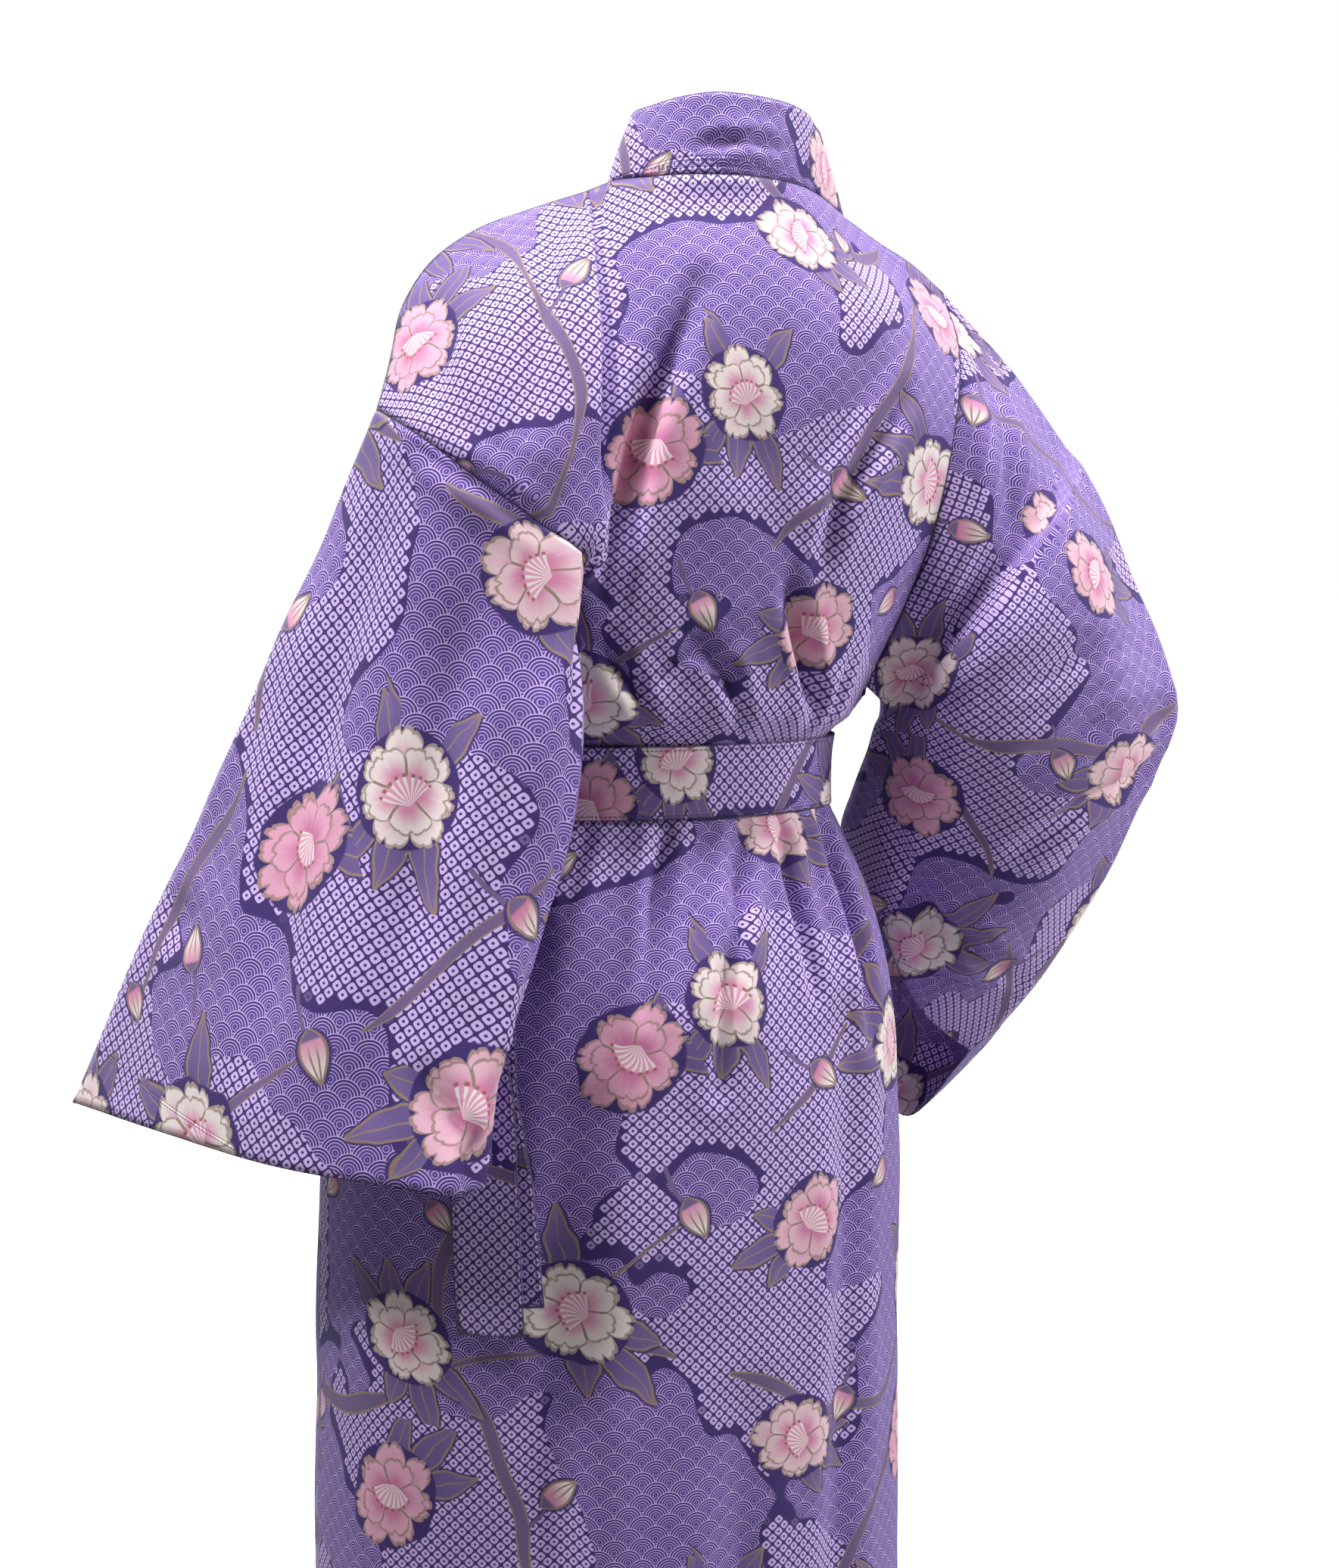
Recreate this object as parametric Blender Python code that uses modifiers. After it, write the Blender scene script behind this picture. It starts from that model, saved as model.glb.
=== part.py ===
"""Cotton yukata robe in its hollow worn form, one closed cloth wall for each sewn piece.

Units are metres and +Z is up. The garment faces -Y and the wearer's left is +X. The origin is at
the nape, in the middle of the back neck seam's height, where the wearer's neck and shoulders hold it.
"""

import math

import bmesh
import bpy
import numpy as np
from mathutils import Matrix, Vector

# Driving dimensions
ROBE_LENGTH = 1.27
WALL = 0.0016
SEAM_GAP = 0.0003
COLLAR_WIDTH = 0.050
COLLAR_WALL = 0.0022
COLLAR_END = -0.64
UNDERLAP = 0.0085
BELT_TOP = -0.372
BELT_WIDTH = 0.048
BELT_WALL = 0.0024
BELT_CLEARANCE = 0.0010
TAIL_TAPER = 0.94
TAIL_ROWS = 10

# How finely each stretch of cloth is divided
YOKE_ROWS = (0.0, 0.35, 0.7, 1.0, 1.35, 1.7, 2.0, 2.35, 2.7, 3.0, 3.4, 3.55, 3.7, 3.85, 4.0)
EDGE_ROW = 10
WAIST_ROWS = 3
SKIRT_LEVELS = (-0.396, -0.420, -0.440, -0.475, -0.52, -0.58, -0.65, -0.73, -0.82, -0.91, -1.00, -1.09, -1.18)
FLAP_COLUMNS = 6
STEP_COLUMNS = 2
NECK_LEFT_COLUMN = 10
NECK_RIGHT_COLUMN = 19
BACK_COLUMNS = 27
GUIDE_TOPS = (15, 21)
GUIDE_ENDS = (13, 18, 22)
COLLAR_COLUMNS = 3
LEFT_SLEEVE_STEPS = 3
RIGHT_SLEEVE_STEPS = 2
BELT_COLUMNS = 44

# Yoke: level below which rows are evenly spaced, and how its last row's height runs to the armpits
EVEN_LEVEL = 2.6
YOKE_ANGLES = (15.0, 160.0)
BACK_DROP = 1.2
FRONT_DROP = 0.7
RELAXED_ROWS = (-4, 2)
RELAXED_PASSES = 4

# Flap of the back: how far its edge overhangs its foot; and the share of a front that lies under
FLAP_OVERHANG = 0.0030
UNDERLAP_EASE = 0.30
COLLAR_BOW = 0.004

# Direction along which the two ends of each rim face are put in order
RIM_ORDER = Vector((0.53, 0.31, 0.79))

# Body sections: height, centre across, half width, half depth and squareness of the corners
RINGS = np.array((
    (-0.230, 0.024, 0.148, 0.122, 0.78),
    (-0.300, 0.027, 0.148, 0.121, 0.78),
    (-0.345, 0.034, 0.151, 0.119, 0.80),
    (-0.362, 0.036, 0.143, 0.108, 0.86),
    (BELT_TOP, 0.036, 0.132, 0.098, 0.92),
    (-0.396, 0.036, 0.130, 0.096, 0.94),
    (-0.420, 0.037, 0.132, 0.098, 0.94),
    (-0.440, 0.039, 0.143, 0.108, 0.95),
    (-0.500, 0.050, 0.177, 0.137, 0.96),
    (-0.600, 0.060, 0.202, 0.154, 0.97),
    (-0.800, 0.061, 0.208, 0.160, 0.96),
    (-ROBE_LENGTH, 0.061, 0.216, 0.170, 0.96),
))

# Height, then the angle in degrees of the left seam, right seam, left and right front edges
SEAM_ANGLES = np.array((
    (-0.230, 15.0, 160.0, -92.0, 272.0),
    (-0.260, 15.0, 160.0, -93.0, 273.0),
    (-0.340, 8.0, 160.0, -102.0, 282.0),
    (-0.400, 0.0, 178.0, -110.0, 290.0),
    (-0.640, 0.0, 180.0, -122.0, 302.0),
    (-ROBE_LENGTH, 0.0, 180.0, -127.0, 307.0),
))

# Shoulder line from the left armhole's top to the neck, and from the neck to the right armhole's top
LEFT_SHOULDER = (
    (0.228, 0.030, -0.155),
    (0.214, 0.017, -0.116),
    (0.203, 0.005, -0.084),
    (0.187, 0.000, -0.060),
    (0.168, 0.000, -0.044),
    (0.136, 0.002, -0.0275),
    (0.100, 0.010, -0.016),
    (0.084, 0.018, -0.010),
)
NECK_LINE = (
    (0.067, 0.030, -0.003),
    (0.032, 0.072, -0.003),
    (-0.005, 0.081, -0.003),
    (-0.041, 0.067, -0.003),
    (-0.080, 0.034, -0.006),
    (-0.115, -0.005, -0.0134),
)
RIGHT_SHOULDER = (
    (-0.115, -0.005, -0.0134),
    (-0.140, -0.002, -0.030),
    (-0.165, 0.000, -0.0433),
    (-0.190, 0.000, -0.0616),
)

# Back yoke, a row for each level: left armhole, middle of the flap, flap's edge
FLAP_LEVELS = (0.0, 1.0, 2.0, 3.0, 3.4, 3.7, 4.0)
LEFT_ARMHOLE_BACK = (
    (0.228, 0.030, -0.155),
    (0.214, 0.078, -0.172),
    (0.183, 0.108, -0.200),
    (0.146, 0.121, -0.229),
    (0.1195, 0.1225, -0.251),
    (0.142, 0.088, -0.266),
    (0.173, 0.032, -0.280),
)
FLAP_MIDDLE = (
    (0.187, 0.000, -0.060),
    (0.166, 0.074, -0.104),
    (0.148, 0.112, -0.158),
    (0.130, 0.1255, -0.209),
    (0.1155, 0.1245, -0.250),
    (0.135, 0.098, -0.266),
    (0.165, 0.054, -0.281),
)
FLAP_EDGE = (
    (0.084, 0.018, -0.010),
    (0.096, 0.072, -0.055),
    (0.1035, 0.109, -0.120),
    (0.108, 0.124, -0.190),
    (0.1115, 0.1265, -0.249),
    (0.127, 0.108, -0.266),
    (0.155, 0.070, -0.282),
)
FLAP_DEPTH = (0.0, 0.010, 0.013, 0.012, 0.005, 0.0, 0.0)

# Back yoke right of the flap: level, then left, centre and right guides and the right armhole
BACK_LEVELS = (1.0, 2.0, 3.0)
BACK_GUIDES = (
    ((0.060, 0.094, -0.060), (-0.015, 0.106, -0.068), (-0.100, 0.084, -0.078), (-0.187, 0.030, -0.100)),
    ((0.060, 0.119, -0.128), (-0.012, 0.121, -0.140), (-0.095, 0.112, -0.150), (-0.168, 0.066, -0.160)),
    ((0.060, 0.125, -0.198), (-0.004, 0.124, -0.212), (-0.085, 0.110, -0.232), (-0.148, 0.070, -0.240)),
)

# Fronts, a row for each level: armhole, chest and collar seam
FRONT_LEVELS = (0.0, 1.0, 2.0, 3.0, 4.0)
LEFT_FRONT_GUIDES = (
    ((0.218, -0.030, -0.172), (0.145, -0.050, -0.060), (0.064, -0.045, -0.040)),
    ((0.206, -0.058, -0.207), (0.138, -0.092, -0.140), (0.055, -0.088, -0.105)),
    ((0.194, -0.040, -0.250), (0.130, -0.110, -0.215), (0.040, -0.115, -0.175)),
)
RIGHT_FRONT_GUIDES = (
    ((-0.180, -0.045, -0.105), (-0.148, -0.058, -0.072), (-0.108, -0.050, -0.050)),
    ((-0.166, -0.078, -0.180), (-0.130, -0.094, -0.142), (-0.090, -0.080, -0.112)),
    ((-0.146, -0.070, -0.262), (-0.112, -0.104, -0.220), (-0.060, -0.102, -0.185)),
)
LEFT_CROSSING = -0.255
RIGHT_CROSSING = -0.265
LEFT_ARMPIT = -0.280
RIGHT_ARMPIT = -0.340

# Collar's free edge: left front levels 1 to 3, round the neck from left to right, right levels 1 to 3
COLLAR_EDGE_LEFT = ((0.030, -0.062, -0.004), (0.012, -0.104, -0.084), (-0.007, -0.129, -0.163))
COLLAR_EDGE_NECK = (
    (0.050, 0.018, 0.043),
    (0.034, 0.052, 0.048),
    (0.009, 0.070, 0.051),
    (-0.022, 0.069, 0.050),
    (-0.064, 0.044, 0.047),
    (-0.092, 0.006, 0.038),
)
COLLAR_EDGE_RIGHT = ((-0.075, -0.060, -0.012), (-0.048, -0.096, -0.092), (-0.016, -0.112, -0.172))

# Soft troughs of the upper back: from (across, height) to (across, height), width and depth
BACK_TROUGHS = (
    (0.037, -0.070, 0.088, -0.225, 0.018, 0.007),
    (-0.105, -0.112, -0.040, -0.200, 0.017, 0.007),
    (-0.020, -0.278, -0.052, -0.352, 0.016, 0.005),
    (0.020, -0.140, -0.030, -0.270, 0.020, 0.004),
)

# Skirt folds: angle, swing of the angle towards the hem, width in degrees, depth, then the heights
# where the fold starts, is full, begins to fade and is gone
SKIRT_FOLDS = (
    (97.0, -4.0, 8.0, 0.007, -0.43, -0.47, -0.49, -0.64),
    (118.0, 4.0, 8.0, -0.005, -0.44, -0.49, -0.52, -0.70),
    (140.0, 6.0, 9.0, 0.004, -0.44, -0.50, -0.52, -0.74),
    (66.0, -10.0, 12.0, -0.006, -0.46, -0.60, -0.90, -1.20),
    (158.0, 6.0, 8.0, 0.005, -0.43, -0.50, -0.60, -0.90),
    (30.0, -6.0, 12.0, 0.006, -0.50, -0.75, -1.10, -1.30),
    (-30.0, -6.0, 13.0, -0.007, -0.45, -0.62, -1.00, -1.30),
    (-62.0, -4.0, 11.0, 0.006, -0.45, -0.60, -0.90, -1.20),
    (212.0, 5.0, 12.0, -0.006, -0.45, -0.60, -0.90, -1.20),
    (112.0, 14.0, 14.0, -0.005, -0.70, -1.00, -1.20, -1.40),
)

# Left sleeve, a row for each section from the armhole to the cuff: outer fold, two points of the
# back layer, near and far edge of the blunt end, and two points of the inner layer
LEFT_SLEEVE = (
    ((0.248, 0.004, -0.215), (0.236, 0.064, -0.240), (0.194, 0.112, -0.266), (0.127, 0.136, -0.296),
     (0.128, 0.120, -0.296), (0.198, 0.062, -0.294), (0.232, -0.030, -0.250)),
    ((0.291, -0.012, -0.314), (0.266, 0.045, -0.325), (0.215, 0.110, -0.338), (0.142, 0.147, -0.344),
     (0.119, 0.126, -0.345), (0.188, 0.066, -0.338), (0.243, 0.006, -0.322)),
    ((0.336, -0.044, -0.424), (0.303, 0.034, -0.431), (0.246, 0.118, -0.446), (0.160, 0.158, -0.448),
     (0.139, 0.137, -0.449), (0.199, 0.082, -0.440), (0.267, 0.012, -0.430)),
    ((0.382, -0.078, -0.534), (0.340, 0.027, -0.537), (0.280, 0.122, -0.546), (0.184, 0.172, -0.550),
     (0.182, 0.148, -0.551), (0.238, 0.084, -0.546), (0.304, -0.004, -0.544)),
    ((0.417, -0.108, -0.625), (0.370, 0.012, -0.622), (0.308, 0.112, -0.626), (0.220, 0.180, -0.633),
     (0.194, 0.158, -0.635), (0.250, 0.084, -0.632), (0.333, -0.018, -0.634)),
)

# Right sleeve, a row for each section: outer fold, back layer, ridge, inner fold, and two points of
# the front layer. The third and fourth rows are the step of the crease from elbow to armpit.
RIGHT_SLEEVE = (
    ((-0.238, 0.010, -0.114), (-0.206, 0.076, -0.172), (-0.170, 0.086, -0.245), (-0.130, 0.037, -0.354),
     (-0.156, -0.074, -0.270), (-0.205, -0.062, -0.158)),
    ((-0.280, 0.016, -0.168), (-0.236, 0.074, -0.212), (-0.180, 0.080, -0.280), (-0.133, 0.031, -0.360),
     (-0.170, -0.075, -0.292), (-0.246, -0.052, -0.196)),
    ((-0.296, 0.021, -0.187), (-0.240, 0.088, -0.228), (-0.170, 0.094, -0.304), (-0.136, 0.023, -0.364),
     (-0.178, -0.073, -0.312), (-0.262, -0.050, -0.222)),
    ((-0.334, 0.030, -0.269), (-0.265, 0.094, -0.300), (-0.166, 0.094, -0.346), (-0.134, 0.010, -0.371),
     (-0.192, -0.070, -0.350), (-0.284, -0.046, -0.296)),
    ((-0.366, 0.040, -0.361), (-0.280, 0.090, -0.372), (-0.162, 0.086, -0.378), (-0.134, 0.000, -0.387),
     (-0.202, -0.076, -0.386), (-0.304, -0.048, -0.370)),
    ((-0.340, 0.030, -0.436), (-0.264, 0.078, -0.432), (-0.153, 0.066, -0.402), (-0.133, -0.010, -0.404),
     (-0.196, -0.094, -0.434), (-0.290, -0.062, -0.452)),
    ((-0.309, 0.010, -0.517), (-0.234, 0.056, -0.486), (-0.146, 0.042, -0.424), (-0.132, -0.022, -0.424),
     (-0.186, -0.112, -0.486), (-0.268, -0.076, -0.548)),
    ((-0.272, -0.012, -0.581), (-0.206, 0.026, -0.532), (-0.141, 0.016, -0.450), (-0.132, -0.036, -0.442),
     (-0.178, -0.128, -0.530), (-0.260, -0.092, -0.641)),
    ((-0.239, -0.040, -0.625), (-0.178, -0.010, -0.576), (-0.145, -0.014, -0.500), (-0.136, -0.050, -0.458),
     (-0.170, -0.142, -0.566), (-0.220, -0.108, -0.690)),
)

# Belt: the knot, and each hanging end's route as (angle, height, distance off the cloth)
KNOT_PLACE = (0.1556, 0.0677, -0.396)
KNOT_SIZE = (0.034, 0.022, 0.042)
TAIL_ROUTES = {
    "belt_tail_outer": ((37.0, -0.4193, 0.0175), (46.0, -0.500, 0.0150), (50.0, -0.570, 0.0150),
                        (54.0, -0.650, 0.0150), (55.0, -0.738, 0.0150)),
    "belt_tail_inner": ((37.0, -0.4193, 0.0143), (46.0, -0.500, 0.0095), (51.0, -0.570, 0.0095),
                        (56.0, -0.650, 0.0095), (58.0, -0.722, 0.0095)),
}

COTTON = {
    "back": (0.20, 0.13, 0.40), "left_front": (0.22, 0.15, 0.44), "right_front": (0.18, 0.12, 0.38),
    "left_sleeve": (0.27, 0.19, 0.50), "right_sleeve": (0.25, 0.17, 0.47), "collar": (0.30, 0.22, 0.53),
    "belt": (0.32, 0.22, 0.55), "belt_knot": (0.30, 0.20, 0.52),
    "belt_tail_outer": (0.30, 0.20, 0.50), "belt_tail_inner": (0.26, 0.18, 0.46),
}


def curve(knots, values, at):
    """Smooth curve through values given at rising knots, read at the places in at."""
    knots = np.asarray(knots, float)
    values = np.asarray(values, float)
    at = np.clip(np.asarray(at, float), knots[0], knots[-1])
    slopes = np.gradient(values, knots, axis=0)
    index = np.clip(np.searchsorted(knots, at, side="right") - 1, 0, len(knots) - 2)
    step = knots[index + 1] - knots[index]
    part = (at - knots[index]) / step
    spread = np.shape(part) + (1,) * (values.ndim - 1)
    part = np.reshape(part, spread)
    step = np.reshape(step, spread)
    start = (1 + 2 * part) * (1 - part) ** 2 * values[index]
    start = start + part * (1 - part) ** 2 * step * slopes[index]
    end = part ** 2 * (3 - 2 * part) * values[index + 1]
    return start + end + part ** 2 * (part - 1) * step * slopes[index + 1]


def chords(points):
    """Share of the whole length, by straight steps, at which each point lies."""
    lengths = np.linalg.norm(np.diff(np.asarray(points, float), axis=0), axis=1)
    return np.concatenate(([0.0], np.cumsum(lengths))) / lengths.sum()


def run(points, steps):
    """Points along a smooth curve through the given points, at even steps or at shares of its length."""
    shares = np.linspace(0.0, 1.0, steps + 1) if isinstance(steps, int) else steps
    return curve(chords(points), points, shares)


def settled(top_shares, level):
    """Shares of a row's length: the top row's spacing, which evens out further down."""
    ease = min(level / EVEN_LEVEL, 1.0)
    ease = ease * ease * (3 - 2 * ease)
    return top_shares * (1 - ease) + np.linspace(0.0, 1.0, len(top_shares)) * ease


def unit(vectors):
    """Vectors scaled to length one."""
    lengths = np.linalg.norm(vectors, axis=-1, keepdims=True)
    return vectors / np.maximum(lengths, 1e-9)


def fold_relief(angles, heights):
    """How far the skirt's folds push the cloth out at each angle and height."""
    relief = np.zeros(np.broadcast(angles, heights).shape)
    for angle, swing, width, depth, top, full, fading, gone in SKIRT_FOLDS:
        fall = np.clip((top - heights) / (top - full), 0.0, 1.0)
        fall = fall * (1.0 - np.clip((fading - heights) / (fading - gone), 0.0, 1.0))
        down = np.clip((top - heights) / (top + ROBE_LENGTH), 0.0, 1.0)
        away = (angles - angle - swing * down + 180.0) % 360.0 - 180.0
        relief += depth * fall * fall * (3 - 2 * fall) * np.exp(-(away / width) ** 2)
    return relief


def body(angles, heights, sunk=0.0):
    """Points of the worn body's surface at angles in degrees, counted from the wearer's left."""
    angles = np.asarray(angles, float)
    heights = np.asarray(heights, float)
    levels = -RINGS[:, 0]
    middle, width, depth, corner = (np.interp(-heights, levels, RINGS[:, column]) for column in range(1, 5))
    turn = np.radians(angles)
    out = fold_relief(angles, heights) - sunk
    across = np.sign(np.cos(turn)) * np.abs(np.cos(turn)) ** corner
    forward = np.sign(np.sin(turn)) * np.abs(np.sin(turn)) ** corner
    return np.stack((middle + (width + out) * across, (depth + out) * forward, heights), axis=-1)


def seam_angle(column, heights):
    """Angle of a seam or edge, a column of SEAM_ANGLES, at each height."""
    return np.interp(-np.asarray(heights, float), -SEAM_ANGLES[:, 0], SEAM_ANGLES[:, column])


def lower_heights(start, row):
    """Heights of one row below the yoke, from the yoke's last row down to the hem."""
    start = np.asarray(start, float)
    if row <= WAIST_ROWS:
        return start + (BELT_TOP - start) * row / WAIST_ROWS
    levels = SKIRT_LEVELS + (-ROBE_LENGTH,)
    return np.full_like(start, levels[row - WAIST_ROWS - 1])


def lower_count():
    """Number of rows below the yoke's last row."""
    return WAIST_ROWS + len(SKIRT_LEVELS) + 1


def pressed(points):
    """The upper back with its soft troughs pressed in."""
    points = points.copy()
    for x_from, z_from, x_to, z_to, width, depth in BACK_TROUGHS:
        start = np.array((x_from, z_from))
        along = np.array((x_to, z_to)) - start
        place = points[..., (0, 2)] - start
        part = np.clip(place @ along / (along @ along), 0.0, 1.0)
        away = np.linalg.norm(place - part[..., None] * along, axis=-1)
        taper = np.sin(np.pi * np.clip(part * 0.9 + 0.05, 0.0, 1.0)) ** 0.5
        points[..., 1] -= depth * taper * np.exp(-(away / width) ** 2) * (points[..., 1] > 0.03)
    return points


def back_points():
    """Grid of the back: rows from shoulder to hem, columns from the wearer's left to right."""
    levels = np.array(YOKE_ROWS)
    armhole = curve(FLAP_LEVELS, LEFT_ARMHOLE_BACK, levels)
    middle = curve(FLAP_LEVELS, FLAP_MIDDLE, levels)
    edge = curve(FLAP_LEVELS, FLAP_EDGE, levels)
    depth = curve(FLAP_LEVELS, FLAP_DEPTH, levels)

    shoulder_start = LEFT_SHOULDER[-1]
    first_right = FLAP_COLUMNS + STEP_COLUMNS
    top_row = np.concatenate((
        run(LEFT_SHOULDER, FLAP_COLUMNS),
        run((shoulder_start, NECK_LINE[0]), NECK_LEFT_COLUMN - FLAP_COLUMNS)[1:],
        run(NECK_LINE, NECK_RIGHT_COLUMN - NECK_LEFT_COLUMN)[1:],
        run(RIGHT_SHOULDER, BACK_COLUMNS - NECK_RIGHT_COLUMN)[1:],
    ))

    shares = np.linspace(0.0, 1.0, BACK_COLUMNS + 1)
    yoke_angles = YOKE_ANGLES[0] + (YOKE_ANGLES[1] - YOKE_ANGLES[0]) * shares
    last_heights = LEFT_ARMPIT + (RIGHT_ARMPIT - LEFT_ARMPIT) * shares ** BACK_DROP
    last_row = body(yoke_angles, last_heights)

    rows = []
    right_shares = chords(top_row[first_right:])
    for row, level in enumerate(levels):
        flap = run((armhole[row], middle[row], edge[row]), FLAP_COLUMNS)
        across = unit(edge[row] - middle[row])
        down = unit(edge[min(row + 1, len(levels) - 1)] - edge[max(row - 1, 0)])
        outward = unit(np.cross(across, down))
        outward = outward * np.sign(outward[1])
        foot = edge[row] + across * FLAP_OVERHANG - outward * depth[row]
        half = (edge[row] + foot) / 2
        guides = [foot]
        if level < 4.0:
            blend = curve((0.0,) + BACK_LEVELS + (4.0,), guide_columns(top_row, last_row), level)
            guides = [foot] + list(blend)
        rest = run(guides, settled(right_shares, level)) if level < 4.0 else last_row[first_right:]
        rows.append(np.concatenate((flap, half[None], rest)))
    rows[0] = top_row
    rows[-1] = last_row
    yoke = np.array(rows)

    lower = []
    for row in range(1, lower_count() + 1):
        heights = lower_heights(last_heights, row)
        left, right = seam_angle(1, heights), seam_angle(2, heights)
        ease = min(row / WAIST_ROWS, 1.0)
        start = yoke_angles * (1 - ease) + (left + (right - left) * shares) * ease
        lower.append(body(start, heights))
    return pressed(relaxed(np.concatenate((yoke, lower))))


def relaxed(grid):
    """The grid with its rows about the yoke's last one eased into each other, right of the flap."""
    grid = grid.copy()
    last = len(YOKE_ROWS) - 1
    free = slice(FLAP_COLUMNS + STEP_COLUMNS + 1, -1)
    for _ in range(RELAXED_PASSES):
        between = (grid[:-2] + grid[2:]) / 2
        rows = slice(last + RELAXED_ROWS[0], last + RELAXED_ROWS[1])
        before = slice(rows.start - 1, rows.stop - 1)
        grid[rows, free] = (grid[rows, free] + between[before, free]) / 2
    return grid


def guide_columns(top_row, last_row):
    """The back's four guide columns at the levels of the yoke, top and bottom included."""
    columns = (NECK_LEFT_COLUMN + 1,) + GUIDE_TOPS + (BACK_COLUMNS,)
    first = [top_row[column] for column in columns]
    last = [last_row[column] for column in GUIDE_ENDS + (BACK_COLUMNS,)]
    return np.array([first] + [list(guides) for guides in BACK_GUIDES] + [last]).reshape(5, 4, 3)


def front_points(top_row, armhole_row, guides, crossing, side, edge_column, armpit):
    """Grid of one front: rows from shoulder to hem, columns from the armhole to the collar seam."""
    count = len(top_row) - 1
    levels = np.array(YOKE_ROWS)
    first_angle, last_angle = seam_angle(side, armpit), seam_angle(edge_column, crossing)
    shares = np.linspace(0.0, 1.0, count + 1)
    sunk = underlap(shares, edge_column)
    last_heights = armpit + (crossing - armpit) * shares ** FRONT_DROP
    last_row = body(first_angle + (last_angle - first_angle) * shares, last_heights, sunk)
    last_row[0] = armhole_row
    neck = top_row[-1]
    top_shares = chords(top_row)
    holes = [top_row[0]] + [row[0] for row in guides] + [armhole_row]
    chests = [top_row[count // 2]] + [row[1] for row in guides] + [last_row[count // 2]]
    seams = [neck] + [row[2] for row in guides] + [last_row[-1]]
    rows = []
    for level in levels:
        points = [curve(FRONT_LEVELS, values, level) for values in (holes, chests, seams)]
        rows.append(run(points, settled(top_shares, level)))
    rows[0] = np.array(top_row)
    rows[-1] = last_row
    for row in range(1, lower_count() + 1):
        heights = lower_heights(last_heights, row)
        start, end = seam_angle(side, heights), seam_angle(edge_column, heights)
        rows.append(body(start + (end - start) * shares, heights, sunk))
    return np.array(rows)


def underlap(shares, edge_column):
    """How far a front lies under the other one, from its side seam to its edge."""
    if edge_column == 3:
        return np.zeros_like(shares)
    ease = np.clip(shares / UNDERLAP_EASE, 0.0, 1.0)
    return UNDERLAP * ease * ease * (3 - 2 * ease)


def sleeve_rows(armhole, sections, breaks, steps):
    """Rows of a sleeve from its armhole loop through its sections to the cuff."""
    loops = [armhole]
    for section in sections:
        closed = list(section) + [section[0]]
        loops.append(np.concatenate([run(closed[first:last + 1], count)[:-1] for first, last, count in breaks]))
    loops = np.array(loops)
    reach = np.linalg.norm(np.diff(loops.mean(axis=1), axis=0), axis=1)
    knots = np.concatenate(([0.0], np.cumsum(reach))) / reach.sum()
    order = np.arange(len(sections) * steps + 1) / steps
    return curve(knots, loops, np.interp(order, np.arange(len(knots)), knots))


def collar_points(left_front, right_front, back):
    """Grid of the collar band: rows along its length from the left end to the right end."""
    rows = len(YOKE_ROWS)
    end = [row for row in range(rows, len(left_front)) if left_front[row, -1, 2] >= COLLAR_END - 0.011][-1]
    levels = np.array(YOKE_ROWS)
    sides = (
        (left_front, COLLAR_EDGE_LEFT, COLLAR_EDGE_NECK[0], 3, -1.0),
        (right_front, COLLAR_EDGE_RIGHT, COLLAR_EDGE_NECK[-1], 4, 1.0),
    )
    arms = []
    for front, edge, neck, column, turn in sides:
        seam = front[:end + 1, -1]
        heights = seam[rows - 1:, 2]
        spread = body_step(heights)
        sunk = UNDERLAP if column == 4 else 0.0
        lower = body(seam_angle(column, heights) + turn * spread, heights, sunk)
        upper = curve(FRONT_LEVELS, (neck,) + edge + (tuple(lower[0]),), levels)
        arms.append((seam, np.concatenate((upper[:-1], lower))))
    neck_seam = back[0, NECK_LEFT_COLUMN:NECK_RIGHT_COLUMN + 1]
    neck_free = run(COLLAR_EDGE_NECK, len(neck_seam) - 1)
    stations = np.concatenate((arms[0][0][:0:-1], neck_seam, arms[1][0][1:]))
    free = np.concatenate((arms[0][1][:0:-1], neck_free, arms[1][1][1:]))
    shares = np.linspace(0.0, 1.0, COLLAR_COLUMNS + 1)[None, :, None]
    return stations[:, None] * (1 - shares) + free[:, None] * shares


def body_step(heights):
    """Angle in degrees that the collar's width covers at each height."""
    width = np.interp(-heights, -RINGS[:, 0], RINGS[:, 2])
    return np.degrees(COLLAR_WIDTH / width)


def bow_collar(grid):
    """Round the band a little over its width."""
    normals = surface_normals(grid, False)
    shares = np.linspace(0.0, 1.0, COLLAR_COLUMNS + 1)
    return grid + normals * (COLLAR_BOW * shares * (1 - shares))[None, :, None]


def surface_normals(grid, ring):
    """Unit normals of a grid of points, whose columns close into a ring if ring is true."""
    if ring:
        across = np.roll(grid, -1, axis=1) - np.roll(grid, 1, axis=1)
    else:
        across = np.gradient(grid, axis=1)
    down = np.gradient(grid, axis=0)
    return unit(np.cross(down, across))


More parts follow.
